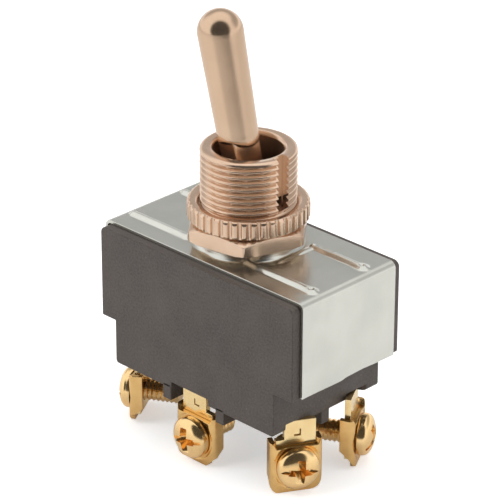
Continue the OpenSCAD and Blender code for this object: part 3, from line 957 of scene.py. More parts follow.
@dataclass
class Neck:
    """The threaded bushing, with its keyway and bore."""

    pitch: float = 0.812
    depth: float = 0.42
    phase: float = 0.5
    lip: float = 0.36
    chamfer: float = 0.42
    bore: float = 4.33
    bore_chamfer: float = 0.38
    key_half: float = 0.875
    key_floor: float = 4.93
    window_width: float = 1.5
    window_height: float = 1.35
    pin_groove: float = 0.80
    pin_reach: float = 5.13
    stake: float = 6.1
    waist: float = 5.23
    rings_per_turn: int = 16
    columns: int = 190
    key_columns: int = 8
    node: Node = field(default_factory=lambda: Node("bushing"))

    def __post_init__(self) -> None:
        """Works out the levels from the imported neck, nut and pin."""
        self.top = self.node.high.z
        self.foot = self.node.low.z
        self.radius = self.node.high.y
        self.seat = Node("ring_nut").high.z
        self.key_foot = self.seat + 0.2
        self.pivot = (Node("cross_pin").low.z + Node("cross_pin").high.z) / 2

    def skin(self, angle: float, z: float) -> float:
        """Radius of the threaded outside.

        Args:
            angle: Direction round the axis.
            z: Height.

        Returns:
            The radius.
        """
        under = self.top - z
        plain = self.radius - max(0.0, self.chamfer - under)
        turn = (z / self.pitch - angle / (2 * math.pi) + self.phase) % 1.0
        ridge = 0.5 + 0.5 * math.cos(2 * math.pi * turn)
        groove = 1.0 - ridge ** 0.8
        return plain - self.depth * groove * ease((under - self.lip) / 0.3)

    def ring(self, radius: Callable[[float, float], float], z: float) -> List[Point]:
        """One ring of points, let in along the keyway.

        Args:
            radius: Radius by direction and height.
            z: Height.

        Returns:
            The points, with the keyway's floor first.
        """
        points: List[Point] = []
        deep = self.key_floor if z > self.key_foot else self.radius + 1
        for i in range(self.key_columns + 1):
            y = self.key_half * (2 * i / self.key_columns - 1)
            r = radius(math.asin(y / self.radius), z)
            points.append((min(deep, math.sqrt(r * r - y * y)), y, z))
        edge = math.asin(self.key_half / self.radius)
        for i in range(self.columns + 1):
            angle = edge + (2 * math.pi - 2 * edge) * i / self.columns
            r = radius(angle, z)
            if i in (0, self.columns):
                y = self.key_half if i == 0 else -self.key_half
                points.append((math.sqrt(r * r - y * y), y, z))
            else:
                points.append((r * math.cos(angle), r * math.sin(angle), z))
        return points

    def turned_rings(self, profile: Sequence[Tuple[float, float]]) -> List[List[Point]]:
        """Plain turned stretches of the neck.

        Args:
            profile: Radius and height of each ring.

        Returns:
            The rings.
        """
        return [self.ring(lambda angle, height, r=radius: r, z) for radius, z in profile]

    def build(self) -> None:
        """Makes the threaded bushing."""
        shape = Shape("neck")
        start = self.seat - 0.6
        boss = Node("hex_nut").low.z - 0.02
        rings = self.turned_rings(((self.bore, self.foot), (self.stake, self.foot), (self.stake, boss - 0.47),
                                   (self.waist, boss - 0.47), (self.waist, boss), (self.radius - 0.35, boss + 0.01),
                                   (self.radius - 0.2, boss + 0.3), (self.radius - 0.2, start)))
        levels = spread(start + 0.02, self.top - self.chamfer, self.pitch / self.rings_per_turn)
        rings += [self.ring(self.skin, z) for z in sorted(levels + [self.key_foot - 0.001, self.key_foot + 0.001])]
        mouth = self.bore + self.bore_chamfer
        rings += self.turned_rings((
            (self.radius - 0.06, self.top - 0.30), (self.radius - 0.14, self.top - 0.20),
            (self.radius - 0.25, self.top - 0.11), (self.radius - 0.38, self.top - 0.04),
            (self.radius - 0.50, self.top - 0.01), (self.radius - 0.62, self.top),
            (mouth + 0.05, self.top), (mouth, self.top - 0.03), (self.bore + 0.04, self.top - self.bore_chamfer * 0.9),
            (self.bore, self.top - self.bore_chamfer - 0.1), (self.bore, self.top - 3.0)))
        shape.rings(rings, close_ends=True)
        made = shape.finish(Finish.NICKEL)
        carve(made, [
            box_cutter((2.0, -self.window_width / 2, self.key_foot + 0.05),
                       (self.radius + 1, self.window_width / 2, self.key_foot + self.window_height)),
            box_cutter((-self.pin_groove, -self.pin_reach, self.foot - 1),
                       (self.pin_groove, self.pin_reach, self.pivot)),
            rod_cutter((0.0, -self.pin_reach, self.pivot), (0.0, self.pin_reach, self.pivot), self.pin_groove),
        ])
        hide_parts("bushing")
        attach(made, "base")


def box_cutter(low: Point, high: Point) -> bpy.types.Object:
    """Makes a plain block to cut with.

    Args:
        low: Its lower corner.
        high: Its upper corner.

    Returns:
        The cutter.
    """
    shape = Shape("cutter")
    shape.block(low, high)
    return shape.finish(Finish.STEEL)


def rod_cutter(start: Point, end: Point, radius: float, sides: int = 48) -> bpy.types.Object:
    """Makes a round bar to cut with.

    Args:
        start: Middle of one end.
        end: Middle of the other end.
        radius: Its radius.
        sides: Number of flats that make it round.

    Returns:
        The cutter.
    """
    axis = (Vector(end) - Vector(start)).normalized()
    across = axis.orthogonal().normalized()
    other = axis.cross(across)
    angles = [2 * math.pi * i / sides for i in range(sides)]
    shape = Shape("cutter")
    shape.closed([[tuple(Vector(spot) + (across * math.cos(a) + other * math.sin(a)) * radius) for a in angles]
                  for spot in (start, end)])
    return shape.finish(Finish.STEEL)


def carve(made: bpy.types.Object, cutters: Sequence[bpy.types.Object], smooth_deg: float = 40.0) -> None:
    """Cuts shapes out of a piece for good.

    Args:
        made: The piece.
        cutters: The shapes, which are used up.
        smooth_deg: Edges that turn by less than this are shaded smooth.
    """
    for cutter in cutters:
        cut = made.modifiers.new("cut", "BOOLEAN")
        cut.operation, cut.object, cut.solver = "DIFFERENCE", cutter, "EXACT"
    ready = made.evaluated_get(bpy.context.evaluated_depsgraph_get())
    data = bpy.data.meshes.new_from_object(ready)
    made.modifiers.clear()
    old, made.data = made.data, data
    data.name = made.name
    bpy.data.meshes.remove(old)
    for cutter in cutters:
        used = cutter.data
        bpy.data.objects.remove(cutter)
        bpy.data.meshes.remove(used)
    mesh = bmesh.new()
    mesh.from_mesh(data)
    bmesh.ops.remove_doubles(mesh, verts=mesh.verts, dist=1e-7)
    bmesh.ops.dissolve_degenerate(mesh, edges=mesh.edges, dist=1e-7)
    shade(mesh, smooth_deg)
    mesh.to_mesh(data)
    mesh.free()
    while len(data.materials) > 1:
        data.materials.pop()


@dataclass
class RingNut:
    """The round nut with rounded grooves round its rim."""

    ridges: int = 40
    groove_depth: float = 0.40
    groove_share: float = 0.50
    crown: float = 0.05
    steps: int = 20
    top_round: float = 0.55
    low_chamfer: float = 0.30
    bore: float = 5.98
    mouth: float = 0.75
    node: Node = field(default_factory=lambda: Node("ring_nut"))

    def rim(self, angle: float) -> float:
        """Radius of the grooved rim.

        Args:
            angle: Direction round the axis.

        Returns:
            The radius.
        """
        turn = (angle * self.ridges / (2 * math.pi)) % 1.0
        side = 1.0 - abs(turn - 0.5) * 2
        if side < self.groove_share:
            depth = (self.groove_depth - self.crown) * math.sqrt(1.0 - (side / self.groove_share) ** 2.4)
            return self.node.high.x - self.crown - depth
        return self.node.high.x - self.crown * ((1.0 - side) / (1.0 - self.groove_share)) ** 3

    def build(self) -> None:
        """Makes the ring nut."""
        shape = Shape("ridged_nut")
        low, high, outer = self.node.low.z, self.node.high.z, self.node.high.x
        count = self.ridges * self.steps
        angles = [2 * math.pi * i / count for i in range(count)]

        def ring(limit: float, z: float) -> List[Point]:
            """One ring of the nut, cut down to a radius."""
            radii = [min(limit, self.rim(a)) for a in angles]
            return [(r * math.cos(a), r * math.sin(a), z) for r, a in zip(radii, angles)]

        rings = [ring(self.bore, low), ring(outer - self.low_chamfer - 0.3, low)]
        rings += [ring(outer - self.low_chamfer * (1 - i / 5), low + self.low_chamfer * i / 5) for i in range(6)]
        rings += [ring(outer, z) for z in spread(low + 0.5, high - self.top_round - 0.1, 0.5)]
        rings += [ring(limit, z) for limit, z in arc(outer - self.top_round, high - self.top_round, self.top_round,
                                                     0, 86, 16)]
        rings += [ring(outer - self.top_round - 0.04, high), ring(self.bore + self.mouth, high),
                  ring(self.bore + self.mouth - 0.06, high - 0.02), ring(self.bore + 0.02, high - 0.42),
                  ring(self.bore, high - 0.46)]
        shape.rings(rings, close_ends=True)
        made = shape.finish(Finish.NICKEL, 50.0)
        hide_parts("ring_nut")
        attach(made, "ring_nut")


@dataclass
class HexNut:
    """The hexagon nut under the ring nut, with turned chamfers."""

    inset: float = 0.58
    turn_deg: float = 10.0
    bore: float = 5.98
    top_drop: float = 0.75
    corner_round: float = 0.08
    soft: float = 0.05
    columns: int = 240
    node: Node = field(default_factory=lambda: Node("hex_nut"))

    def build(self) -> None:
        """Makes the hexagon nut."""
        shape = Shape("hexagon_nut")
        low, high = self.node.low.z, self.node.high.z
        flat = Node("ring_nut").high.x - self.inset
        corner = flat / math.cos(math.radians(30)) - self.corner_round
        columns: List[List[Tuple[float, float]]] = []
        angles = [math.radians(self.turn_deg) + 2 * math.pi * i / self.columns for i in range(self.columns)]
        for i in range(self.columns):
            aside = abs((i * 360 / self.columns) % 60 - 30)
            r = min(flat / math.cos(math.radians(aside)), corner)
            foot = low + 0.3 * max(0.0, r - flat - 0.55) / 0.65
            crest = high - self.top_drop * (r - flat + 0.25) / 1.45
            columns.append([(self.bore, low), (min(r, flat + 0.55) - self.soft, low), (r, foot + self.soft),
                            (r, crest - 2 * self.soft), (r - 0.3 * self.soft, crest - 0.5 * self.soft),
                            (r - 2 * self.soft, crest + self.soft), (flat - 0.25, high), (self.bore, high)])
        shape.rings([[(c[row][0] * math.cos(a), c[row][0] * math.sin(a), c[row][1]) for c, a in zip(columns, angles)]
                     for row in range(len(columns[0]))], close_ends=True)
        made = shape.finish(Finish.NICKEL, 30.0)
        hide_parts("hex_nut")
        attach(made, "base")


@dataclass
class Strap:
    """The folded steel strap with its boss, ribs and two end flanges."""

    sheet: float = 0.45
    bend: float = 0.95
    boss_height: float = 1.2
    boss_flat: float = 6.0
    boss_foot: float = 7.25
    hole: float = 5.36
    rib_height: float = 0.46
    rib_half: float = 0.80
    rib_row: float = 4.55
    rib_shift: float = -0.35
    rib_end: float = 15.55
    rib_starts: Tuple[float, float, float] = (-5.9, 3.9, 7.1)
    crease_height: float = 0.14
    crease_spot: float = 7.15
    dimple_depth: float = 0.26
    hollow_depth: float = 0.14
    node: Node = field(default_factory=lambda: Node("frame"))

    def __post_init__(self) -> None:
        """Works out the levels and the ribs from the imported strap."""
        self.half = self.node.high.x
        self.edge = self.node.high.y
        self.deck = self.node.high.z - self.boss_height
        self.low = self.node.low.z
        self.near, self.far = self.rib_shift - self.rib_row, self.rib_shift + self.rib_row
        left, right_near, right_far = self.rib_starts
        self.ribs = [(-self.rib_end, left, self.near), (-self.rib_end, left, self.far),
                     (right_near, self.rib_end, self.near), (right_far, self.rib_end, self.far)]

    def lift(self, x: float, y: float) -> float:
        """Height of the pressed shape above the flat strap.

        Args:
            x: Place along the strap.
            y: Place across it.

        Returns:
            The height.
        """
        reach = math.hypot(x, y)
        share = min(1.0, max(0.0, (reach - self.boss_flat) / (self.boss_foot - self.boss_flat)))
        boss = self.boss_height * (1.0 - ease(share * 1.02)) * (1.0 - 0.55 * share)
        best = 0.0
        for start, end, row in self.ribs:
            away = math.hypot(max(start - x, 0.0, x - end), y - row)
            swell = 1.0 + 0.25 * ease((x - end + 2.0) / 2.0) * (1.0 if end > 0 else 0.0)
            taper = 0.7 + 0.3 * ease((x - start) / 3.0) if start > 0 else 1.0
            side = min(1.0, away / (self.rib_half * swell * taper))
            best = max(best, self.rib_height * math.cos(side * math.pi / 2) ** 1.5)
        fold = math.hypot(x - self.boss_edge(y), max(-1.8 - y, 0.0, y - self.rib_row - self.rib_shift))
        best = max(best, self.crease_height * ease(1.3 * (1.0 - fold / 0.6)))
        dimple = 0.0
        for row in (self.near, self.far):
            spot = math.hypot((x - self.rib_end + 0.2) / 0.55, (y - row) / 0.36)
            dimple = max(dimple, self.dimple_depth * ease(1.3 * (1.0 - spot)))
        hollow = math.hypot(max(7.5 - x, 0.0, x - 10.4), (y - self.far) / 0.9) / 0.26
        return max(boss, best) - max(dimple, self.hollow_depth * ease(1.4 * (1.0 - hollow)))

    def boss_edge(self, y: float) -> float:
        """Where the low crease beside the boss runs."""
        return self.crease_spot + 0.02 * y

    def sheared(self, y: float, end: int) -> float:
        """How much the sheared lower edge of a flange wanders upward.

        Args:
            y: Place across the flange.
            end: -1 left, 1 right.

        Returns:
            The height.
        """
        share = (y + self.edge) / (2 * self.edge)
        bulge = ease((share - 0.42) / 0.06) * (1 - ease((share - 0.62) / 0.2))
        return 0.05 + 0.05 * math.sin(9.0 * share + end) + 0.16 * bulge

    def top_point(self, x: float, y: float) -> Tuple[Vector, Vector]:
        """A point on the strap's upper face, and the way that it faces."""
        return Vector((x, y, self.deck + self.lift(x, y))), Vector((0, 0, 1))

    def middle_sheet(self, rows: List[float]) -> Sheet:
        """The patch that grows from the round hole to a square as wide as the strap.

        Args:
            rows: Places across the strap.

        Returns:
            Its outer face, ring by ring.
        """
        edge = self.edge
        rim = [(edge, y) for y in rows[:-1]]
        rim += [(-x, edge) for x in spread(-edge, edge, 0.4)[:-1]]
        rim += [(-edge, -y) for y in [-r for r in rows[::-1]][:-1]]
        rim += [(x, -edge) for x in spread(-edge, edge, 0.4)[:-1]]
        radii = [self.hole, 6.1, 6.6, 6.85] + spread(self.boss_flat, self.boss_foot, 0.06) + [self.boss_foot + 0.1]
        patch = [[self.top_point(radius * x / math.hypot(x, y), radius * y / math.hypot(x, y)) for x, y in rim]
                 for radius in radii]
        last, steps = radii[-1], 16
        for share in (i / steps for i in range(1, steps + 1)):
            patch.append([self.top_point(x * share + last * x / math.hypot(x, y) * (1 - share),
                                         y * share + last * y / math.hypot(x, y) * (1 - share)) for x, y in rim])
        return [ring + ring[:1] for ring in patch]

    def end_sheet(self, rows: List[float], end: int) -> Sheet:
        """One end of the strap, over the bend and down the flange.

        Args:
            rows: Places across the strap.
            end: -1 left, 1 right.

        Returns:
            Its outer face, line by line.
        """
        flat, fine = self.half - self.bend, self.rib_end - 1.2
        path = [(x, 0.0, Vector((0, 0, 1))) for x in spread(self.edge, fine, 0.25)[:-1] + spread(fine, flat, 0.1)]
        for a in (math.radians(90 - 9 * i) for i in range(1, 11)):
            path.append((flat + self.bend * math.cos(a), -self.bend + self.bend * math.sin(a),
                         Vector((math.cos(a), 0, math.sin(a)))))
        drop = self.deck - self.low
        path += [(self.half, -z, Vector((1, 0, 0))) for z in spread(self.bend, drop, 0.45)[1:]]
        grid = []
        for x, z, out in path:
            away = max(0.0, (-z - self.bend) / (drop - self.bend))
            line = []
            for y in rows:
                rise = self.lift(end * x, y) if z == 0.0 else 0.0
                spot = Vector((end * x, y, self.deck + z + self.sheared(y, end) * away ** 2 + rise))
                line.append((spot, Vector((end * out.x, 0, out.z))))
            grid.append(line)
        return grid

    def build(self) -> None:
        """Makes the strap."""
        shape = Shape("strap")
        rows = self.rib_rows()
        mesh = shape.mesh
        for grid in (self.middle_sheet(rows), self.end_sheet(rows, -1), self.end_sheet(rows, 1)):
            outer = [[mesh.verts.new(spot * MM) for spot, _ in line] for line in grid]
            inner = [[mesh.verts.new((spot - out * self.sheet) * MM) for spot, out in line] for line in grid]
            shape.skin(outer)
            shape.skin(inner)
        bmesh.ops.remove_doubles(mesh, verts=mesh.verts, dist=2e-6)
        bare = [edge for edge in mesh.edges if edge.is_boundary]
        bmesh.ops.bridge_loops(mesh, edges=[edge for edge in bare if self.on_hole(edge)])
        bmesh.ops.bridge_loops(mesh, edges=[edge for edge in bare if not self.on_hole(edge)])
        made = shape.finish(Finish.ZINC, 35.0)
        soften(made, 0.07, 2, 60, harden=True)
        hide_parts("frame")
        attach(made, "base")

    def on_hole(self, edge: bmesh.types.BMEdge) -> bool:
        """Tells whether an open edge lies on the hole in the middle."""
        spot = edge.verts[0].co / MM
        return math.hypot(spot.x, spot.y) < self.hole + 0.2 and spot.z > self.deck

    def rib_rows(self) -> List[float]:
        """Places across the strap, close together along the ribs.

        Returns:
            The places, from one edge to the other.
        """
        rows: List[float] = []
        stops = (-self.edge, self.near - 0.9, self.near + 0.9, self.far - 0.9, self.far + 0.9, self.edge)
        for low, high, step in zip(stops, stops[1:], (0.4, 0.09, 0.35, 0.09, 0.4)):
            rows += spread(low, high, step)[:-1]
        return rows + [self.edge]


@dataclass
class Terminal:
    """Where one screw terminal stands: its seat, and the way that it faces."""

    pole: str
    spot: str
    fan_deg: float = 30.0
    head: float = 2.75
    height: float = 1.9

    def angle(self) -> float:
        """How far its outward direction is turned from +Y.

        Returns:
            The angle in degrees.
        """
        end = {"left": -1, "mid": 0, "right": 1}[self.spot]
        return facing_deg(end, -1 if self.pole == "near" else 1, self.fan_deg)

    def head_steps(self) -> Tuple[Tuple[float, float], ...]:
        """Radius and height of the edges round the solid screw's head."""
        return ((self.head - 0.15, 0), (self.head, 0.2), (self.head, 0.7), (self.head - 0.25, self.height * 0.62),
                (self.head - 0.95, self.height * 0.88), (self.head - 1.8, self.height))

    def seat(self) -> Vector:
        """Finds the point under the middle of the head from the box of the solid screw.

        Returns:
            The point.
        """
        node = Node(f"screw_{self.pole}_{self.spot}")
        turn = math.radians(self.angle())
        facing = (-math.sin(turn), math.cos(turn))
        reach = []
        for axis in (0, 1):
            along, beside = facing[axis], abs(facing[1 - axis])
            if abs(along) < 1e-6:
                reach.append((node.low[axis] + node.high[axis]) / 2)
                continue
            outward = max(t * abs(along) + r * beside for r, t in self.head_steps())
            reach.append(node.high[axis] - outward if along > 0 else node.low[axis] + outward)
        return Vector((reach[0], reach[1], (node.low.z + node.high.z) / 2))

    def matrix(self, turn_deg: float = 0.0) -> Matrix:
        """Places a piece drawn with its seat at the origin and +Y outward.

        Args:
            turn_deg: How far it is turned round the screw's axis.

        Returns:
            The placing, in metres.
        """
        return (Matrix.Translation(self.seat() * MM) @ Matrix.Rotation(math.radians(self.angle()), 4, "Z")
                @ Matrix.Rotation(math.radians(turn_deg), 4, "Y"))


TERMINALS: Tuple[Terminal, ...] = tuple(Terminal(pole, spot) for pole in ("near", "far")
                                        for spot in ("left", "mid", "right"))


@dataclass
class Clamp:
    """One wire clamp: a plate dished round the screw's head, with both sides folded back.

    It is drawn from the screw's seat, with +Y outward.
    """

    half: float = 3.4
    thickness: float = 0.68
    ear_depth: float = 1.98
    bend: float = 0.85
    below: float = 3.55
    above: float = 2.7
    ear_above: float = 3.4
    dish: float = 3.0
    dish_depth: float = 0.13
    dish_wall: float = 0.22
    corners: Tuple[float, float] = (1.5, 1.25)
    bevelled: bool = True
    rows: int = 44

    def path(self) -> List[Tuple[Vector, Vector, float]]:
        """Draws the folded section from one ear to the other.

        Returns:
            Outer and inner points, with the distance back from the plate.
        """
        made: List[Tuple[Vector, Vector, float]] = []
        t, r = self.thickness, self.bend
        for y in spread(-self.ear_depth, -r, 0.3)[:-1]:
            made.append((Vector((self.half, y)), Vector((self.half - t, min(y, -t - 0.06))), -y - r))
        for a in range(0, 91, 10):
            c, q = math.cos(math.radians(a)), math.sin(math.radians(a))
            made.append((Vector((self.half - r + r * c, -r + r * q)),
                         Vector((self.half - t - 0.1 + 0.1 * c, -t - 0.1 + 0.1 * q)), 0.0))
        inner = self.half - r
        count = math.ceil(2 * inner / 0.14)
        for i in range(1, count):
            x = inner - 2 * inner * i / count
            made.append((Vector((x, 0.0)), Vector((x * (self.half - t - 0.1) / inner, -t)), 0.0))
        for outer, under, back in [m for m in made if m[0].x >= inner - 1e-6][::-1]:
            made.append((Vector((-outer.x, outer.y)), Vector((-under.x, under.y)), back))
        return made

    def foot(self, outer: Vector, back: float) -> float:
        """Level of the lower edge at one place round the section.

        Args:
            outer: Outer point of the section.
            back: Its distance back from the plate.

        Returns:
            The level.
        """
        corner = self.corners[0] if outer.x > 0 else self.corners[1]
        inward = self.half - abs(outer.x)
        if inward >= corner:
            return -self.below
        share = 1.0 - inward / corner
        if self.bevelled and outer.x < 0:
            rise = corner * share
        else:
            rise = corner * (1.0 - math.sqrt(max(0.0, 1.0 - share * share)))
        return -self.below + rise + 0.9 * back

    def crest(self, outer: Vector, back: float) -> float:
        """Level of the upper edge at one place round the section."""
        inward = self.half - abs(outer.x)
        return self.above + (self.ear_above - self.above) * (1.0 - ease((inward - 0.25) / 0.45)) + 0.1 * min(back, 1.0)

    def mesh(self) -> bpy.types.Object:
        """Makes the clamp.

        Returns:
            The piece.
        """
        shape = Shape("wire_clamp")
        mesh = shape.mesh
        front, rear = [], []
        for outer, under, back in self.path():
            low, high = self.foot(outer, back), self.crest(outer, back)
            levels = [low + (high - low) * i / self.rows for i in range(self.rows + 1)]
            front.append([Vector((outer.x, outer.y - self.sink(outer.x, z), z)) for z in levels])
            rear.append([Vector((under.x, under.y, z)) for z in levels])
        skins = [[[mesh.verts.new(spot * MM) for spot in line] for line in skin] for skin in (front, rear)]
        for grid in skins:
            shape.skin(grid)
        front, rear = skins
        for i in range(len(front) - 1):
            for j in (0, self.rows):
                mesh.faces.new((front[i][j], front[i + 1][j], rear[i + 1][j], rear[i][j]))
        for i in (0, len(front) - 1):
            for j in range(self.rows):
                mesh.faces.new((front[i][j], front[i][j + 1], rear[i][j + 1], rear[i][j]))
        made = shape.finish(Finish.CLAMP, 40.0)
        soften(made, 0.06, 2, 55)
        return made

    def sink(self, x: float, z: float) -> float:
        """How far the face is sunk in the dish round the head."""
        inside = abs(x) < self.half - 0.2
        return self.dish_depth * (1.0 - ease((math.hypot(x, z) - self.dish) / self.dish_wall)) if inside else 0.0


def build_clamps() -> None:
    """Makes and places the six wire clamps, of which one was cut with two round corners."""
    for place in TERMINALS:
        rounded = (place.pole, place.spot) == ("near", "right")
        made = (Clamp(corners=(1.0, 1.7), bevelled=False) if rounded else Clamp()).mesh()
        made.name = f"clamp_{place.pole}_{place.spot}_fine"
        made.matrix_world = place.matrix()
        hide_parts(f"clamp_{place.pole}_{place.spot}")
        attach(made, f"clamp_{place.pole}_{place.spot}")


@dataclass(frozen=True)
class Blade:
    """One bar of the driver recess, cut by a wedge."""

    reach: float
    half: float
    depth: float
    deep_reach: float
    deep_half: float
    upright: bool = False
    over: float = 0.3

    def cutter(self, height: float) -> bpy.types.Object:
        """Makes the wedge.

        Args:
            height: Height of the head that it cuts.

        Returns:
            The cutter.
        """
        shape = Shape("cutter")
        deep = height - self.depth
        slope = (self.reach - self.deep_reach) / (height - deep)
        lean = (self.half - self.deep_half) / (height - deep)
        rings = []
        for y, x, z in ((height + self.over, self.reach + slope * self.over, self.half + lean * self.over),
                        (deep, self.deep_reach, self.deep_half)):
            if self.upright:
                x, z = z, x
            rings.append([(-x, y, -z), (x, y, -z), (x, y, z), (-x, y, z)])
        shape.closed(rings)
        return shape.finish(Finish.STEEL)


@dataclass
class Screws:
    """The six binding screws, one mesh placed six times."""

    thread: float = 1.5
    pitch: float = 0.6
    thread_depth: float = 0.22
    head: float = 2.75
    head_side: float = 0.62
    columns: int = 72
    recess: Tuple[Blade, ...] = (Blade(3.1, 0.24, 0.7, 3.1, 0.2), Blade(1.75, 0.46, 1.6, 0.5, 0.26),
                                 Blade(1.85, 0.56, 1.6, 0.5, 0.32, upright=True))
    turns_deg: Tuple[float, ...] = (0.0, 6.0, -4.0, 34.0, 12.0, 25.0)

    def outline(self, height: float) -> List[Tuple[float, float]]:
        """Draws the head from the seat to the crown.

        Args:
            height: Height of the head.

        Returns:
            Radius and place along the axis, point by point.
        """
        side = [(self.thread, 0.0), (self.head - 0.12, 0.0), (self.head - 0.03, 0.04), (self.head, 0.14),
                (self.head, self.head_side - 0.12), (self.head - 0.03, self.head_side - 0.03)]
        dome = [(self.head * math.cos(a) ** 0.92, self.head_side + (height - self.head_side) * math.sin(a))
                for a in (math.radians(6 + 83.5 * i / 15) for i in range(16))]
        return side + dome

    def shank(self, angle: float, y: float, length: float) -> float:
        """Radius of the threaded shank, narrower at its end.

        Args:
            angle: Direction round the axis.
            y: Place along the axis.
            length: Length under the head.

        Returns:
            The radius.
        """
        turn = (y / self.pitch + angle / (2 * math.pi)) % 1.0
        fade = ease((-0.25 - y) / 0.3)
        tip = max(0.0, 0.45 - (y + length)) * 0.8
        return self.thread - tip - self.thread_depth * (1 - abs(2 * turn - 1)) * fade

    def mesh(self, length: float, height: float) -> bpy.types.Object:
        """Makes one screw standing along +Y with its seat at zero.

        Args:
            length: Length under the head.
            height: Height of the head.

        Returns:
            The piece.
        """
        angles = [2 * math.pi * i / self.columns for i in range(self.columns)]

        def ring(radii: List[float], y: float) -> List[Point]:
            """One ring of the screw."""
            return [(r * math.sin(a), y, r * math.cos(a)) for r, a in zip(radii, angles)]

        shape = Shape("binding_screw")
        steps = [(0.02, -length), (self.thread - 0.62, -length)]
        rings = [ring([radius] * self.columns, y) for radius, y in steps]
        rings += [ring([self.shank(a, y, length) for a in angles], y)
                  for y in spread(-length + 0.01, -0.02, self.pitch / 9)]
        rings += [ring([radius] * self.columns, y) for radius, y in self.outline(height)]
        shape.closed(rings)
        made = shape.finish(Finish.SCREW, 45.0)
        carve(made, [blade.cutter(height) for blade in self.recess], 35.0)
        return made

    def build(self) -> None:
        """Makes and places the six screws."""
        first: Optional[bpy.types.Object] = None
        middle = Node("screw_near_mid")
        height = TERMINALS[0].height
        for place, turn in zip(TERMINALS, self.turns_deg):
            if first is None:
                made = first = self.mesh(middle.high.y - middle.low.y - height, height)
            else:
                made = bpy.data.objects.new("binding_screw", first.data)
                bpy.context.scene.collection.objects.link(made)
            made.name = f"screw_{place.pole}_{place.spot}_fine"
            made.matrix_world = place.matrix(turn)
            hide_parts(f"screw_{place.pole}_{place.spot}")
            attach(made, f"clamp_{place.pole}_{place.spot}")


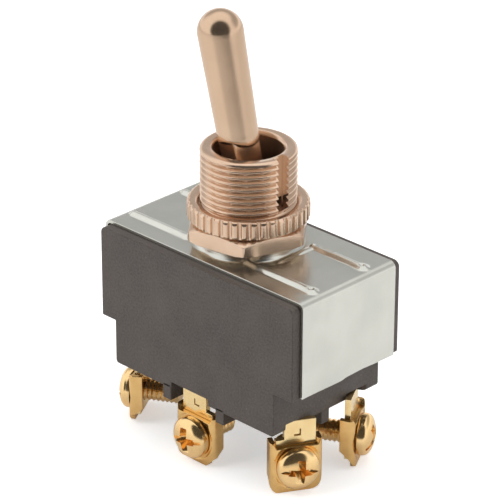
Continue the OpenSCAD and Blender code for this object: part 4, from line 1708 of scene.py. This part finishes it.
@dataclass
class Bat:
    """The lever: a round bat on a flat-sided neck, its ball and its stem."""

    lean_deg: float = 13.3
    reach: float = 24.2
    thick: float = 2.9
    root: float = 2.6
    start: float = 6.5
    scoop: float = 0.9
    round_under: float = 0.55
    neck_x: float = 1.45
    neck_y: float = 2.25
    hub: float = 3.78
    stem: float = 1.6
    neck_round: float = 0.3
    columns: int = 96

    def __post_init__(self) -> None:
        """Finds the pivot and leans the lever."""
        pin = Node("cross_pin")
        self.pivot = (pin.low.z + pin.high.z) / 2
        self.turn = Matrix.Rotation(math.radians(-self.lean_deg), 3, "Y")
        self.angles = [2 * math.pi * i / self.columns for i in range(self.columns)]

    def put(self, x: float, y: float, z: float) -> Point:
        """Leans a point that is given on the upright lever, from its pivot."""
        spot = self.turn @ Vector((x, y, z))
        return (spot.x, spot.y, spot.z + self.pivot)

    def bat(self, shape: Shape) -> None:
        """Adds the bat, from its crown down to its lens-shaped lower end.

        Args:
            shape: Takes the bat.
        """
        dome = self.reach - self.thick
        wall = self.start + self.scoop + self.round_under + 0.1
        profile = [(self.thick * math.sin(math.radians(a)), dome + self.thick * math.cos(math.radians(a)))
                   for a in [0.5] + [4.5 * i for i in range(1, 21)]]
        for z in spread(wall, dome, 0.6)[::-1]:
            profile.append((self.root + (self.thick - self.root) * (z - wall) / (dome - wall), z))
        rings = [[self.put(r * math.cos(a), r * math.sin(a), z) for a in self.angles] for r, z in profile]
        for i in range(17):
            bend = math.radians(89.5 * (1 - i / 16))
            share = math.sin(bend)
            ring = []
            for a in self.angles:
                z = self.start + self.scoop * math.sin(a) ** 2 * share ** 2 + self.round_under * (1 - math.cos(bend))
                ring.append(self.put(self.root * share * math.cos(a), self.root * share * math.sin(a), z))
            rings.append(ring)
        rings[-1] = [self.put(0.01 * math.cos(a), 0.01 * math.sin(a), self.start) for a in self.angles]
        shape.closed(rings, turned=True)

    def neck(self, shape: Shape) -> None:
        """Adds the neck with its two broad flats.

        Args:
            shape: Takes the neck.
        """
        x, y, corner = self.neck_x - self.neck_round, self.neck_y - self.neck_round, self.neck_round
        section: List[Tuple[float, float]] = []
        for sx, sy, first in ((1, 1, 0), (-1, 1, 90), (-1, -1, 180), (1, -1, 270)):
            section += arc(sx * x, sy * y, corner, first, first + 90, 5)
        shape.closed([[self.put(x, y, z) for x, y in section] for z in (2.0, self.start + self.scoop + 0.6)])

    def ball(self, shape: Shape) -> None:
        """Adds the ball, cut flat at both sides, and the stem below it.

        Args:
            shape: Takes the ball and the stem.
        """
        flat = self.hub - 0.6
        rings = []
        for a in (math.radians(7.5 * i) for i in range(1, 24)):
            across = [(self.hub * math.sin(a) * math.cos(b), self.hub * math.sin(a) * math.sin(b)) for b in self.angles]
            rings.append([self.put(x, max(-flat, min(flat, y)), self.hub * math.cos(a)) for x, y in across])
        shape.closed(rings, turned=True)
        shape.closed([[self.put(self.stem * math.cos(a), self.stem * math.sin(a), z) for a in self.angles]
                      for z in (-11.5, -1.0)])

    def build(self) -> None:
        """Makes the lever in two finishes: bright above, and painted near black below as shade for the dark bore seen
        through the neck's window.
        """
        upper, lower = Shape("bat"), Shape("bat_ball")
        self.bat(upper)
        self.neck(upper)
        self.ball(lower)
        for made in (upper.finish(Finish.LEVER, 50.0), lower.finish(Finish.SHADE_DARK_STEEL, 50.0)):
            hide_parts("lever")
            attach(made, "lever")


# ---------------------------------------------------------------- the switch as a whole

PLAIN: Tuple[Tuple[str, Finish, float], ...] = (
    ("insulator_card", Finish.CARD, 0.0),
    ("cross_pin", Finish.STEEL, 0.05),
    ("yoke", Finish.YOKE, 0.1),
    ("plunger_", Finish.TAB, 0.0),
    ("spring_", Finish.STEEL, 0.0),
    ("rocker_buttons_", Finish.SILVER, 0.0),
    ("rocker_", Finish.COPPER, 0.0),
    ("fixed_contact_", Finish.SILVER, 0.0),
    ("terminal_", Finish.TAB, 0.06),
)


def dress_nodes() -> None:
    """Gives every kept solid its finish."""
    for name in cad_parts:
        for start, finish, edge in PLAIN:
            if name.startswith(start):
                Node(name).dress(finish, edge)
                break


def main() -> None:
    """Builds the dressed switch and its studio."""
    logging.basicConfig(level=logging.INFO, format="%(name)s: %(message)s")
    solid_box = [list(corner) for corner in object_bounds()]
    Housing().build()
    Neck().build()
    RingNut().build()
    HexNut().build()
    Strap().build()
    Screws().build()
    build_clamps()
    Bat().build()
    dress_nodes()
    Studio().build(solid_box[0][2] / MM)


if __name__ == "__main__":
    main()
